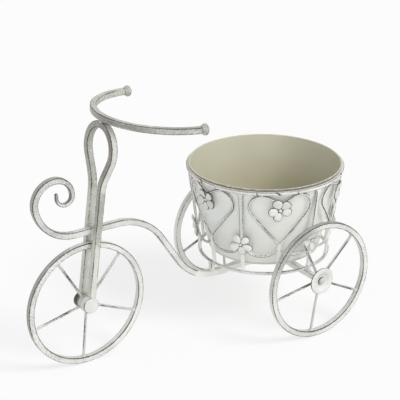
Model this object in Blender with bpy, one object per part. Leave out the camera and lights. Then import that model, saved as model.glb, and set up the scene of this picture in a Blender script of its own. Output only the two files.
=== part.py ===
"""Tricycle planter: a round pot hangs in a wire basket that is carried by a three-wheeled cycle.

+X points to the rear of the cycle, +Z is up, and the origin is on the ground at the middle of the
object's outline. Left is the rider's left, at -Y.
"""
import math

import bmesh
import bpy
from mathutils import Matrix, Vector

MM = 0.001

# Fits and faceting
SEAT = 0.3 * MM              # gap that welded and resting pieces keep
RUNNING_FIT = 0.5 * MM       # radial play of a wheel hub on its pin
SIDE_PLAY = 0.9 * MM         # play of a hub along its pin
OVERRUN = 2.0 * MM           # how far every cut runs past its piece
MERGE = 0.001 * MM           # points closer than this are one point
ROUND_STEPS = 44             # facets of the large rings and the pot
HUB_STEPS = 20               # facets of hubs, pins and knobs
FACET_SAG = 0.12 * MM        # how far a faceted bend may stray from the round one
SMOOTH_ANGLE = math.radians(35)

# Wheels
FRONT_WHEEL_RADIUS = 72.3 * MM
REAR_WHEEL_RADIUS = 70.1 * MM
RIM_BAR = 6.8 * MM
WHEELBASE = 250.6 * MM
REAR_WHEEL_CLEARANCE = 1.8 * MM    # from the basket's top ring to the side of a rear rim
SPOKES = 5
SPOKE_DIAMETER = 3.2 * MM
FRONT_SPOKE_TURN = math.radians(48.5)
LEFT_SPOKE_TURN = math.radians(44.5)
RIGHT_SPOKE_TURN = math.radians(59.0)
AXLE_PIN_DIAMETER = 6.0 * MM
HUB_DIAMETER = 18.2 * MM
REAR_HUB_DIAMETER = 14.0 * MM
REAR_HUB_LENGTH = 9.0 * MM
HUB_DISC_DIAMETER = 32.0 * MM
HUB_DISC_DISH = 2.6 * MM
HUB_DISC_SHEET = 1.2 * MM
HUB_DISC_LIP = 2.6 * MM
PIN_HEAD_DIAMETER = 8.4 * MM
PIN_HEAD_HEIGHT = 2.6 * MM
PIN_HEAD_STEP_SHARES = (0.35, 0.7, 1.0)

# Fork, a square bar bent into a drop-shaped loop with two legs
FORK_BAR = 7.5 * MM
FORK_LEAN = math.radians(7.7)
FORK_LEG_GAP = 1.95 * MM           # from the main bar's side to a leg
FORK_LOOP_RADIUS = 25.6 * MM
FORK_NECK_RUN = 20.3 * MM          # straight stretch between the flare and the loop
FORK_FLARE_RADIUS = 38.0 * MM
FORK_FLARE_HEIGHT = 131.5 * MM     # where the legs leave the straight, above the axle
BOSS_DIAMETER = 18.6 * MM
BOSS_CAP = 1.8 * MM                # metal left over the end of the blind bore
WELD_RADIUS = 4.4 * MM             # weld metal between the main bar and the legs

# Handlebar, a square bar bent round in a C
HANDLEBAR_BAR = 7.0 * MM
HANDLEBAR_RADIUS = 76.9 * MM
HANDLEBAR_SWEEP = math.radians(173)
HANDLEBAR_TILT = math.radians(4.5)
KNOB_DIAMETER = 12.8 * MM
KNOB_LENGTH = 8.8 * MM
KNOB_NECK_DIAMETER = 9.4 * MM
KNOB_STEPS = 5

# Main bar, from the basket to the scroll ahead of the fork
MAIN_BAR = 7.0 * MM
MAIN_BAR_ABOVE_WHEEL = 13.2 * MM   # from the front wheel's top to the middle of the bar
MAIN_BAR_SLOPE = math.radians(56.8)
LOWER_BEND_RADIUS = 60.0 * MM
UPPER_BEND_RADIUS = 68.0 * MM
LOWER_BEND_AHEAD = 71.0 * MM       # where the flat stretch ends, ahead of the pot's axis
MAIN_BAR_TAIL = 9.0 * MM           # how far the bar runs on behind the rear axle
SCROLL_AHEAD = 11.5 * MM           # where the scroll starts, ahead of the front axle
SCROLL_RADII = (46.6 * MM, 24.4 * MM, 20.8 * MM, 9.3 * MM)
SCROLL_ANGLES = tuple(math.radians(a) for a in (79.5, 100.5, 90.0, 178.0))
SCROLL_TIP_RUN = 5.8 * MM
SCROLL_TIP_BAR = 3.4 * MM           # the bar thins to this over the scroll's inner bends
SCROLL_OUTER_BENDS = 2
CORNER_SHARE = 0.12                # corner flat of every square bar, as a share of its width

# Rear axle and what carries the basket
AXLE_BEHIND_POT = 7.6 * MM
AXLE_BAR = 6.8 * MM
SADDLE_LENGTH = 9.0 * MM
SADDLE_HEIGHT = 1.8 * MM
POST_BAR = 7.0 * MM
POST_FLARE = 3.0 * MM

# Pot
POT_RIM_RADIUS = 89.6 * MM
POT_BASE_RADIUS = 65.9 * MM
POT_DEPTH = 104.7 * MM
POT_ABOVE_BASE_RING = 3.8 * MM
POT_BEAD = 2.4 * MM
POT_WALL = 0.9 * MM
POT_FOOT_HEIGHT = 2.2 * MM
POT_FOOT_WIDTH = 5.0 * MM
POT_CORNER = 2.0 * MM
POT_ROLL_STEPS = 4
POT_CLEARANCE = 0.5 * MM

# Basket
TOP_RING_WIDTH = 3.3 * MM
TOP_RING_DEPTH = 5.4 * MM
BASE_RING_GAP = 10.2 * MM          # from the pot's foot to the middle of the base ring
BASE_RING_WIRE = 4.0 * MM
PANELS = 6
STRAP_TURN = math.radians(35.3)
STRAP_WIDTH = 4.6 * MM
STRAP_THICKNESS = 3.0 * MM
STRAP_HEAD_WIDTH = 11.0 * MM
STRAP_HEAD_HEIGHT = 7.0 * MM
STRAP_HEAD_STEPS = 4
STRAP_HEAD_INSET = 1.3 * MM        # how far the strap's middle lies inside the ring's middle
WIRE = 3.0 * MM

# Heart in each panel
HEART_SIDE_GAP = 5.6 * MM          # from a lobe to the strap beside it
HEART_LOBE_RADIUS = 14.6 * MM
HEART_TIP_SHARE = 0.37             # height of the tip, as a share of the basket's height
HEART_NOTCH_DEPTH = 9.0 * MM       # from the tops of the lobes to the notch
LOBE_STEPS = 9
HEART_SIDE_STEPS = 2

# Scallops from each heart's tip to the straps
SCALLOP_DEPTH = 13.5 * MM
SCALLOP_BELOW_TIP = 3.0 * MM
SCALLOP_STEPS = 8
SCALLOP_ROUND_SHARE = 0.8          # below 1, the hanging wire is flatter at its bottom

# Flowers
PETALS = 5
HEART_FLOWER_RADIUS = 14.0 * MM
HEART_FLOWER_BELOW_NOTCH = 7.0 * MM
STRAP_FLOWER_RADIUS = 13.2 * MM
STRAP_FLOWER_SHARE = 0.34          # height of its middle, as a share of the basket's height
FLOWER_THICKNESS = 1.0 * MM
PETAL_CROWN = 1.5 * MM
FLOWER_BUTTON_RADIUS = 2.6 * MM
FLOWER_BUTTON_CROWN = 1.4 * MM
PETAL_ROUND_SHARE = 0.385          # radius of a petal's tip, as a share of the flower's radius
PETAL_CREST_SHARE = 0.70           # where the petals are highest
BUTTON_FOOT_SHARE = 1.35           # foot of the button's slope, as a share of the button's radius
PETAL_STEPS = 4

# Places worked out from the sizes above
pot_neck_radius = POT_RIM_RADIUS - POT_BEAD + POT_WALL
top_ring_inner = pot_neck_radius + POT_CLEARANCE
top_ring_outer = top_ring_inner + TOP_RING_WIDTH
front_reach = WHEELBASE - AXLE_BEHIND_POT + FRONT_WHEEL_RADIUS
pot_x = (front_reach - top_ring_outer) / 2
rear_axle_x = pot_x + AXLE_BEHIND_POT
front_axle_x = rear_axle_x - WHEELBASE
pin_radius = AXLE_PIN_DIAMETER / 2
bore_radius = pin_radius + RUNNING_FIT
track_half = top_ring_outer + REAR_WHEEL_CLEARANCE + RIM_BAR / 2
main_bar_height = 2 * FRONT_WHEEL_RADIUS + MAIN_BAR_ABOVE_WHEEL
flat_height = REAR_WHEEL_RADIUS - AXLE_BAR / 2 - SEAT - MAIN_BAR / 2
axle_top = REAR_WHEEL_RADIUS + AXLE_BAR / 2
base_ring_radius = POT_BASE_RADIUS + BASE_RING_GAP
base_ring_bottom = axle_top + SADDLE_HEIGHT + 2 * SEAT
base_ring_top = base_ring_bottom + BASE_RING_WIRE
pot_floor = base_ring_top + POT_ABOVE_BASE_RING
bead_bottom = pot_floor + POT_DEPTH - POT_BEAD
top_ring_top = bead_bottom - SEAT
top_ring_bottom = top_ring_top - TOP_RING_DEPTH
strap_head_radius = (top_ring_inner + top_ring_outer) / 2 - STRAP_HEAD_INSET
strap_top = top_ring_bottom - SEAT
strap_bottom = base_ring_top + SEAT
basket_height = strap_top - strap_bottom
basket_taper = (strap_head_radius - base_ring_radius) / basket_height
panel_angle = 2 * math.pi / PANELS
heart_top = strap_top - WIRE / 2
heart_notch = heart_top - HEART_NOTCH_DEPTH
heart_tip = strap_bottom + HEART_TIP_SHARE * basket_height
scallop_top = heart_tip - SCALLOP_BELOW_TIP
heart_flower_height = heart_notch - HEART_FLOWER_BELOW_NOTCH
strap_flower_height = strap_bottom + STRAP_FLOWER_SHARE * basket_height
leg_inner = MAIN_BAR / 2 + FORK_LEG_GAP
leg_middle = leg_inner + FORK_BAR / 2
leg_outer = leg_inner + FORK_BAR
bend_radii = FORK_FLARE_RADIUS + FORK_LOOP_RADIUS
bends_apart = leg_middle + FORK_FLARE_RADIUS
bends_rise = math.sqrt(bend_radii ** 2 + FORK_NECK_RUN ** 2 - bends_apart ** 2)
flare_angle = math.atan2(bends_rise, bends_apart) - math.atan2(FORK_NECK_RUN, bend_radii)
loop_height = FORK_FLARE_HEIGHT + bends_rise
fork_crown = loop_height + FORK_LOOP_RADIUS

SIDES = (("_left", -1), ("_right", 1))
WIRE_SIDES = 8
PAINT = ((0.80, 0.78, 0.72), 0.45, 0.2)
POT_PAINT = ((0.72, 0.69, 0.58), 0.4, 0.1)
PIN_STEEL = ((0.34, 0.32, 0.30), 0.4, 0.9)


def clear_scene():
    for item in list(bpy.data.objects):
        bpy.data.objects.remove(item, do_unlink=True)


def finish(piece, look):
    """Give a piece its own material and smooth shading with crisp edges."""
    colour, roughness, metallic = look
    material = bpy.data.materials.new(piece.name + "_finish")
    material.use_nodes = True
    shader = material.node_tree.nodes["Principled BSDF"]
    shader.inputs["Base Color"].default_value = (*colour, 1.0)
    shader.inputs["Roughness"].default_value = roughness
    shader.inputs["Metallic"].default_value = metallic
    piece.data.materials.append(material)
    if piece.type == "MESH":
        piece.data.shade_smooth()
        piece.data.set_sharp_from_angle(angle=SMOOTH_ANGLE)
    return piece


def add_mesh(name, bm, origin=Vector(), look=PAINT):
    """Turn a finished bmesh, drawn about its own origin, into a named object."""
    bmesh.ops.remove_doubles(bm, verts=bm.verts, dist=MERGE)
    bmesh.ops.recalc_face_normals(bm, faces=bm.faces)
    mesh = bpy.data.meshes.new(name)
    bm.to_mesh(mesh)
    bm.free()
    piece = bpy.data.objects.new(name, mesh)
    piece.location = origin
    bpy.context.collection.objects.link(piece)
    return finish(piece, look)


def turned(profile, axis="Z", closed=False, steps=HUB_STEPS):
    """Turn a profile of (radius, height) points round an axis, into a new bmesh."""
    bm = bmesh.new()
    rim = [bm.verts.new((radius, 0, height)) for radius, height in profile]
    edges = [bm.edges.new(pair) for pair in zip(rim, rim[1:])]
    if closed:
        edges.append(bm.edges.new((rim[-1], rim[0])))
    bmesh.ops.spin(bm, geom=rim + edges, cent=(0, 0, 0), axis=(0, 0, 1), angle=2 * math.pi,
                   steps=steps, use_merge=True)
    if axis == "Y":
        bmesh.ops.transform(bm, matrix=Matrix.Rotation(-math.pi / 2, 4, "X"), verts=bm.verts)
    return bm


def square_section(size):
    """Eight points of a square bar with small corner flats."""
    side = size / 2
    flat = side - CORNER_SHARE * size
    return [(side, -flat), (side, flat), (flat, side), (-flat, side),
            (-side, flat), (-side, -flat), (-flat, -side), (flat, -side)]


def circle(radius, count, phase=0.0):
    """Points round a circle, as (across, up) pairs."""
    angles = [2 * math.pi * (i + phase) / count for i in range(count)]
    return [(radius * math.cos(t), radius * math.sin(t)) for t in angles]


def loft(rings, bm=None):
    """Skin a row of rings of points. A ring of one point is a tip; an open end gets a cap."""
    bm = bm or bmesh.new()
    rows = [[bm.verts.new(point) for point in ring] for ring in rings]
    for one, two in zip(rows, rows[1:]):
        count = max(len(one), len(two))
        for i in range(count):
            j = (i + 1) % count
            if len(one) == 1:
                bm.faces.new((one[0], two[j], two[i]))
            elif len(two) == 1:
                bm.faces.new((one[i], one[j], two[0]))
            else:
                bm.faces.new((one[i], one[j], two[j], two[i]))
    for row in (rows[0], rows[-1]):
        if len(row) > 2:
            bm.faces.new(row)
    return bm


class BarPath:
    """The middle line of a bar bent in one plane: straight runs and round bends."""

    def __init__(self, start, heading):
        self.point = Vector(start)
        self.heading = heading
        self.length = 0.0
        self.stations = [(self.point.copy(), heading, self.length)]

    def mark(self, heading, point, step):
        self.heading = heading
        self.point = point
        self.length += step
        self.stations.append((point.copy(), heading, self.length))

    def run(self, length):
        ahead = Vector((math.cos(self.heading), math.sin(self.heading)))
        self.mark(self.heading, self.point + length * ahead, length)
        return self

    def bend(self, radius, angle):
        """Bend by an angle: to the left when it is positive, to the right when negative."""
        side = math.copysign(1, angle)
        left = Vector((-math.sin(self.heading), math.cos(self.heading)))
        centre = self.point + side * radius * left
        start = self.heading
        steps = math.ceil(abs(angle) / (2 * math.acos(1 - FACET_SAG / radius)))
        for k in range(1, steps + 1):
            heading = start + angle * k / steps
            left = Vector((-math.sin(heading), math.cos(heading)))
            self.mark(heading, centre - side * radius * left, radius * abs(angle) / steps)
        return self


def bent_bar(path, right, up, size, tip_size=None, taper_from=0.0):
    """Sweep a square bar along a path drawn in the plane of the right and up directions.

    With a tip size, the bar thins steadily to it from a length along the path.
    """
    across = right.cross(up)
    tip_size = tip_size or size
    rings = []
    for point, heading, travelled in path.stations:
        thinned = max(0, travelled - taper_from) / (path.length - taper_from)
        section = square_section(size + (tip_size - size) * thinned)
        middle = point.x * right + point.y * up
        inward = -math.sin(heading) * right + math.cos(heading) * up
        rings.append([middle + u * across + v * inward for u, v in section])
    return loft(rings)


def guide(name, bm, origin=Vector()):
    """A shape that cuts other pieces or joins them, and isn't a piece itself."""
    shape = add_mesh(name, bm, origin)
    shape.hide_render = True
    shape.display_type = "WIRE"
    return shape


def combine(piece, shape, operation):
    step = piece.modifiers.new(shape.name, "BOOLEAN")
    step.operation = operation
    step.solver = "EXACT"
    step.object = shape


def wire_object(name, strands, diameter, cyclic=False):
    """Round wire along one or more rows of points, as one bevelled curve object."""
    curve = bpy.data.curves.new(name, "CURVE")
    curve.dimensions = "3D"
    curve.bevel_depth = diameter / 2
    curve.bevel_resolution = 1
    curve.use_fill_caps = True
    for points in strands:
        spline = curve.splines.new("POLY")
        spline.points.add(len(points) - 1)
        for target, point in zip(spline.points, points):
            target.co = (*point, 1.0)
        spline.use_cyclic_u = cyclic
    piece = bpy.data.objects.new(name, curve)
    bpy.context.collection.objects.link(piece)
    return finish(piece, PAINT)


def wire_mesh(strands, diameter):
    """The same wires as a bmesh, for joining to another piece."""
    source = wire_object("wire_source", strands, diameter)
    mesh = bpy.data.meshes.new_from_object(source)
    bpy.data.objects.remove(source, do_unlink=True)
    bm = bmesh.new()
    bm.from_mesh(mesh)
    bpy.data.meshes.remove(mesh)
    return bm


def wheel(prefix, suffix, centre, radius, spoke_turn, hub_profile):
    """A rim rolled from square bar, and a barrel hub with its round spokes welded on."""
    middle = radius - RIM_BAR / 2
    section = [(middle + v, u) for u, v in square_section(RIM_BAR)]
    add_mesh(prefix + "_rim" + suffix, turned(section, "Y", closed=True, steps=ROUND_STEPS), centre)

    hub = add_mesh(prefix + "_spoked_hub" + suffix, turned(hub_profile, "Y", closed=True), centre)
    hub_radius = hub_profile[0][0]
    start = (bore_radius + hub_radius) / 2
    end = (radius - RIM_BAR) * math.cos(math.pi / ROUND_STEPS) - SEAT
    across = Vector((0, 1, 0))
    bm = bmesh.new()
    for k in range(SPOKES):
        angle = spoke_turn + 2 * math.pi * k / SPOKES
        out = Vector((math.cos(angle), 0, math.sin(angle)))
        side = out.cross(across)
        section = circle(SPOKE_DIAMETER / 2, WIRE_SIDES)
        loft([[reach * out + u * side + v * across for u, v in section] for reach in (start, end)], bm)
    combine(hub, guide(prefix + "_spokes" + suffix, bm, centre), "UNION")


def mirrored(profile, side):
    """A turned profile as it is for the right side, or flipped for the left."""
    return [(radius, side * place) for radius, place in profile]


def front_wheel_group():
    """Front wheel, the pin it runs on and the two bosses that hold the pin."""
    centre = Vector((front_axle_x, 0, FRONT_WHEEL_RADIUS))
    hub_radius = HUB_DIAMETER / 2
    half = leg_inner - SIDE_PLAY
    hub = [(hub_radius, -half), (hub_radius, half), (bore_radius, half), (bore_radius, -half)]
    wheel("front_wheel", "", centre, FRONT_WHEEL_RADIUS, FRONT_SPOKE_TURN, hub)

    pin_half = leg_outer - BOSS_CAP - SEAT
    pin = [(0, -pin_half), (pin_radius, -pin_half), (pin_radius, pin_half), (0, pin_half)]
    add_mesh("front_axle_pin", turned(pin, "Y"), centre, PIN_STEEL)

    boss = BOSS_DIAMETER / 2
    socket = pin_radius + SEAT
    edge = BOSS_CAP / 3
    for suffix, side in SIDES:
        profile = [(0, leg_outer), (boss - edge, leg_outer), (boss, leg_outer - edge), (boss, leg_inner),
                   (socket, leg_inner), (socket, leg_outer - BOSS_CAP), (0, leg_outer - BOSS_CAP)]
        add_mesh("fork_boss" + suffix, turned(mirrored(profile, side), "Y"), centre)


def fork_piece():
    """One square bar: up one leg, out round the drop-shaped loop and down the other leg."""
    foot = BOSS_DIAMETER / 2 * math.cos(math.radians(45))
    path = BarPath((leg_middle, foot), math.pi / 2)
    path.run(FORK_FLARE_HEIGHT - foot).bend(FORK_FLARE_RADIUS, -flare_angle).run(FORK_NECK_RUN)
    path.bend(FORK_LOOP_RADIUS, math.pi + 2 * flare_angle)
    path.run(FORK_NECK_RUN).bend(FORK_FLARE_RADIUS, -flare_angle).run(FORK_FLARE_HEIGHT - foot)
    up = Vector((math.sin(FORK_LEAN), 0, math.cos(FORK_LEAN)))
    centre = Vector((front_axle_x, 0, FRONT_WHEEL_RADIUS))
    fork = add_mesh("fork", bent_bar(path, Vector((0, 1, 0)), up, FORK_BAR), centre)

    wide = leg_outer + OVERRUN
    radius = BOSS_DIAMETER / 2 + SEAT
    boss_room = [(0, -wide), (radius, -wide), (radius, wide), (0, wide)]
    room = guide("boss_room", turned(boss_room, "Y", steps=2 * HUB_STEPS), centre)
    combine(fork, room, "DIFFERENCE")


def leaning_x(height):
    """Where the leaning plane of the fork is at a height."""
    return front_axle_x + (height - FRONT_WHEEL_RADIUS) * math.tan(FORK_LEAN)


def fork_welds():
    """Weld metal between the main bar and the inner faces of the fork's legs."""
    inner = MAIN_BAR / 2 + SEAT
    outer = leg_inner - SEAT
    centre = Vector((leaning_x(main_bar_height), 0, main_bar_height))
    for suffix, side in SIDES:
        weld = [(0, inner), (WELD_RADIUS, inner), (WELD_RADIUS, outer), (0, outer)]
        add_mesh("fork_weld" + suffix, turned(mirrored(weld, side), "Y"), centre)


def handlebar_group():
    """C-shaped handlebar on top of the fork's loop, with a knob on each end."""
    lean = Vector((math.sin(FORK_LEAN), 0, math.cos(FORK_LEAN)))
    axle = Vector((front_axle_x, 0, FRONT_WHEEL_RADIUS))
    crown = axle + fork_crown * lean
    rearward = Vector((math.cos(HANDLEBAR_TILT), 0, -math.sin(HANDLEBAR_TILT)))
    upward = Vector((math.sin(HANDLEBAR_TILT), 0, math.cos(HANDLEBAR_TILT)))
    across = Vector((0, 1, 0))
    wedge = FORK_BAR / 2 * math.sin(abs(FORK_LEAN - HANDLEBAR_TILT))
    front = crown + (FORK_BAR / 2 + SEAT + wedge + HANDLEBAR_BAR / 2) * upward
    centre = front + HANDLEBAR_RADIUS * rearward

    half_sweep = HANDLEBAR_SWEEP / 2
    ahead = HANDLEBAR_RADIUS * math.cos(half_sweep)
    spread = HANDLEBAR_RADIUS * math.sin(half_sweep)
    path = BarPath((-ahead, -spread), math.pi / 2 + half_sweep)
    path.bend(HANDLEBAR_RADIUS, -HANDLEBAR_SWEEP)
    add_mesh("handlebar", bent_bar(path, rearward, across, HANDLEBAR_BAR), centre)

    neck = KNOB_NECK_DIAMETER / 2
    belly = KNOB_DIAMETER / 2
    low_angle = -math.acos(neck / belly)
    half_length = KNOB_LENGTH / (1 - math.sin(low_angle))
    profile = [(0, 0)]
    for k in range(KNOB_STEPS + 1):
        t = low_angle + (math.pi / 2 - low_angle) * k / KNOB_STEPS
        profile.append((belly * math.cos(t), half_length * (math.sin(t) - math.sin(low_angle))))
    for suffix, side in SIDES:
        place = centre - ahead * rearward + side * spread * across
        out = math.sin(half_sweep) * rearward + side * math.cos(half_sweep) * across
        bm = turned(profile)
        aim = out.to_track_quat("Z", "Y").to_matrix().to_4x4()
        bmesh.ops.transform(bm, matrix=aim, verts=bm.verts)
        add_mesh("handlebar_knob" + suffix, bm, place + SEAT * out)


def main_bar_piece():
    """Square bar from behind the rear axle, down flat, up the slope, through the fork to the scroll."""
    rise = main_bar_height - flat_height
    bends = (LOWER_BEND_RADIUS + UPPER_BEND_RADIUS) * (1 - math.cos(MAIN_BAR_SLOPE))
    slope_run = (rise - bends) / math.sin(MAIN_BAR_SLOPE)
    tail = rear_axle_x + MAIN_BAR_TAIL
    flat_run = tail - (pot_x - LOWER_BEND_AHEAD)
    reach = (LOWER_BEND_RADIUS + UPPER_BEND_RADIUS) * math.sin(MAIN_BAR_SLOPE)
    reach += slope_run * math.cos(MAIN_BAR_SLOPE)
    level_run = (pot_x - LOWER_BEND_AHEAD - reach) - (front_axle_x - SCROLL_AHEAD)
    # the path is drawn looking along +Y, with the front of the cycle to the right
    path = BarPath((-tail, flat_height), 0)
    path.run(flat_run).bend(LOWER_BEND_RADIUS, MAIN_BAR_SLOPE).run(slope_run)
    path.bend(UPPER_BEND_RADIUS, -MAIN_BAR_SLOPE).run(level_run)
    scroll = list(zip(SCROLL_RADII, SCROLL_ANGLES))
    for radius, angle in scroll[:SCROLL_OUTER_BENDS]:
        path.bend(radius, angle)
    taper_from = path.length
    for radius, angle in scroll[SCROLL_OUTER_BENDS:]:
        path.bend(radius, angle)
    path.run(SCROLL_TIP_RUN)
    bm = bent_bar(path, Vector((-1, 0, 0)), Vector((0, 0, 1)), MAIN_BAR, SCROLL_TIP_BAR, taper_from)
    add_mesh("main_bar", bm)


def rear_axle_group():
    """Square axle bar, and at each end a wheel on a headed pin."""
    bar_end = track_half - REAR_HUB_LENGTH / 2 - SIDE_PLAY
    axle = Vector((rear_axle_x, 0, REAR_WHEEL_RADIUS))
    section = square_section(AXLE_BAR)
    bm = loft([[Vector((u, y, v)) for u, v in section] for y in (-bar_end, bar_end)])
    add_mesh("rear_axle_bar", bm, axle)

    hub_radius = REAR_HUB_DIAMETER / 2
    hub_end = SPOKE_DIAMETER / 2
    hub = [(hub_radius, -REAR_HUB_LENGTH / 2), (hub_radius, hub_end),
           (bore_radius, hub_end), (bore_radius, -REAR_HUB_LENGTH / 2)]

    back = hub_end + SEAT
    face = back + HUB_DISC_SHEET
    disc_radius = HUB_DISC_DIAMETER / 2
    crest = disc_radius - HUB_DISC_LIP
    head_radius = PIN_HEAD_DIAMETER / 2
    well = head_radius + SIDE_PLAY
    disc = [(bore_radius, back), (well + HUB_DISC_SHEET, back), (crest, back + HUB_DISC_DISH),
            (disc_radius - HUB_DISC_SHEET / 2, back), (disc_radius, back + HUB_DISC_SHEET / 2),
            (crest + HUB_DISC_SHEET / 2, face + HUB_DISC_DISH - HUB_DISC_SHEET / 2),
            (crest - HUB_DISC_SHEET / 2, face + HUB_DISC_DISH), (well, face), (bore_radius, face)]

    head = track_half + face + SIDE_PLAY
    pin = [(0, bar_end + SEAT), (pin_radius, bar_end + SEAT), (pin_radius, head), (head_radius, head)]
    for share in PIN_HEAD_STEP_SHARES:
        t = share * math.pi / 2
        pin.append((head_radius * math.cos(t), head + PIN_HEAD_HEIGHT * math.sin(t)))

    for (suffix, side), turn in zip(SIDES, (LEFT_SPOKE_TURN, RIGHT_SPOKE_TURN)):
        centre = axle + Vector((0, side * track_half, 0))
        wheel("rear_wheel", suffix, centre, REAR_WHEEL_RADIUS, turn, mirrored(hub, side))
        add_mesh("rear_hub_disc" + suffix, turned(mirrored(disc, side), "Y", closed=True), centre)
        add_mesh("rear_axle_pin" + suffix, turned(mirrored(pin, side), "Y"), axle)


def bar_top(x):
    """Upper face of the main bar, in its flat stretch and at the start of its lower bend."""
    into_bend = max(0, pot_x - LOWER_BEND_AHEAD - x)
    radius = LOWER_BEND_RADIUS - MAIN_BAR / 2
    return flat_height + LOWER_BEND_RADIUS - math.sqrt(radius ** 2 - into_bend ** 2)


def basket_carriers():
    """The post from the main bar to the base ring, and the saddles on the rear axle."""
    head = base_ring_bottom - SEAT
    middle = pot_x - base_ring_radius
    half = POST_BAR / 2
    foot = half + POST_FLARE
    corners = ((-1, -1), (1, -1), (1, 1), (-1, 1))
    bottom = []
    for sx, sy in corners:
        x = middle + sx * foot
        bottom.append(Vector((x, sy * half, bar_top(x) + SEAT)))
    waist_height = bottom[0].z + POST_FLARE
    waist = [Vector((middle + sx * half, sy * half, waist_height)) for sx, sy in corners]
    top = [Vector((middle + sx * half, sy * half, head)) for sx, sy in corners]
    add_mesh("ring_post", loft([bottom, waist, top]))

    low = axle_top + SEAT
    reach = math.sqrt(base_ring_radius ** 2 - AXLE_BEHIND_POT ** 2)
    foot_size = (SADDLE_LENGTH, AXLE_BAR)
    head_size = (BASE_RING_WIRE, BASE_RING_WIRE)
    for suffix, side in SIDES:
        rings = []
        for height, (length, width) in ((low, foot_size), (head, head_size)):
            rings.append([Vector((sx * width / 2, side * reach + sy * length / 2, height))
                          for sx, sy in corners])
        add_mesh("axle_saddle" + suffix, loft(rings), Vector((rear_axle_x, 0, 0)))


def basket_radius(height):
    """Middle of the basket's wires and straps at a height."""
    return base_ring_radius + basket_taper * (height - strap_bottom)


def on_basket(angle, across, height, outward=0.0):
    """A point of the flat pattern, wrapped on the tapered basket.

    The pattern's middle line is at an angle round the pot, and across is measured along the wall.
    """
    radius = basket_radius(height)
    turn = angle + across / radius
    return Vector(((radius + outward) * math.cos(turn), (radius + outward) * math.sin(turn), height))


def basket_rings():
    axis = Vector((pot_x, 0, 0))
    corner = CORNER_SHARE * TOP_RING_WIDTH
    section = [(top_ring_inner, top_ring_bottom), (top_ring_outer - corner, top_ring_bottom),
               (top_ring_outer, top_ring_bottom + corner), (top_ring_outer, top_ring_top - corner),
               (top_ring_outer - corner, top_ring_top), (top_ring_inner, top_ring_top)]
    add_mesh("basket_top_ring", turned(section, closed=True, steps=ROUND_STEPS), axis)

    height = (base_ring_bottom + base_ring_top) / 2
    ring = [Vector((x, y, height)) for x, y in circle(base_ring_radius, ROUND_STEPS)]
    wire_object("basket_base_ring", [ring], BASE_RING_WIRE, cyclic=True).location = axis


def strap(name, angle, top, head_width):
    """Flat strap up from the base ring, with its top end flared to a width."""
    head_height = STRAP_HEAD_HEIGHT * (head_width - STRAP_WIDTH) / (STRAP_HEAD_WIDTH - STRAP_WIDTH)
    stations = [(strap_bottom, STRAP_WIDTH), (top - head_height, STRAP_WIDTH)]
    if head_width > STRAP_WIDTH:
        for k in range(1, STRAP_HEAD_STEPS + 1):
            share = k / STRAP_HEAD_STEPS
            width = STRAP_WIDTH + (head_width - STRAP_WIDTH) * share ** 2
            stations.append((top - head_height * (1 - share), width))
    half = STRAP_THICKNESS / 2
    corners = ((-1, -half), (1, -half), (1, half), (-1, half))
    rings = []
    for height, width in stations:
        rings.append([on_basket(angle, side * width / 2, height, out) for side, out in corners])
    return add_mesh(name, loft(rings), Vector((pot_x, 0, 0)))


def heart_half():
    """Right half of the heart in the flat pattern, from the notch round the lobe to the tip."""
    lobe_height = heart_top - HEART_LOBE_RADIUS
    strap_middle = panel_angle / 2 * basket_radius(lobe_height)
    half_width = strap_middle - (STRAP_WIDTH + WIRE) / 2 - HEART_SIDE_GAP
    lobe = Vector((half_width - HEART_LOBE_RADIUS, lobe_height))
    notch = Vector((WIRE / 2, heart_notch))
    tip = Vector((WIRE / 2, heart_tip))

    def touch(point, turn):
        """Angle on the lobe where a straight run from a point meets it."""
        line = point - lobe
        return math.atan2(line.y, line.x) + turn * math.acos(HEART_LOBE_RADIUS / line.length)

    start = touch(notch, -1) % (2 * math.pi)
    end = touch(tip, 1)
    points = [notch]
    for k in range(LOBE_STEPS + 1):
        t = start + (end - start) * k / LOBE_STEPS
        points.append(lobe + HEART_LOBE_RADIUS * Vector((math.cos(t), math.sin(t))))
    last = points[-1]
    for k in range(1, HEART_SIDE_STEPS + 1):
        points.append(last.lerp(tip, k / HEART_SIDE_STEPS))
    return points


def heart(name, angle):
    half = heart_half()
    ring = [on_basket(angle, p.x, p.y) for p in half]
    ring += [on_basket(angle, -p.x, p.y) for p in reversed(half)]
    wire_object(name, [ring], WIRE, cyclic=True).location = Vector((pot_x, 0, 0))


def scallop(name, angle):
    """Short strap under a heart's tip, with the hanging wire on each side of it welded on."""
    strap_middle = panel_angle / 2 * basket_radius(scallop_top)
    near = STRAP_WIDTH / 2
    far = strap_middle - STRAP_WIDTH / 2 - SEAT - WIRE / 2
    strands = []
    for side in (-1, 1):
        points = []
        for k in range(SCALLOP_STEPS + 1):
            t = math.pi * k / SCALLOP_STEPS
            across = (near + far) / 2 - (far - near) / 2 * math.cos(t)
            height = scallop_top - SCALLOP_DEPTH * math.sin(t) ** SCALLOP_ROUND_SHARE
            points.append(on_basket(angle, side * across, height))
        strands.append(points)
    top = heart_tip - WIRE / 2 - SEAT
    piece = strap(name, angle, top, STRAP_WIDTH)
    wires = guide(name + "_wires", wire_mesh(strands, WIRE), Vector((pot_x, 0, 0)))
    combine(piece, wires, "UNION")


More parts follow.
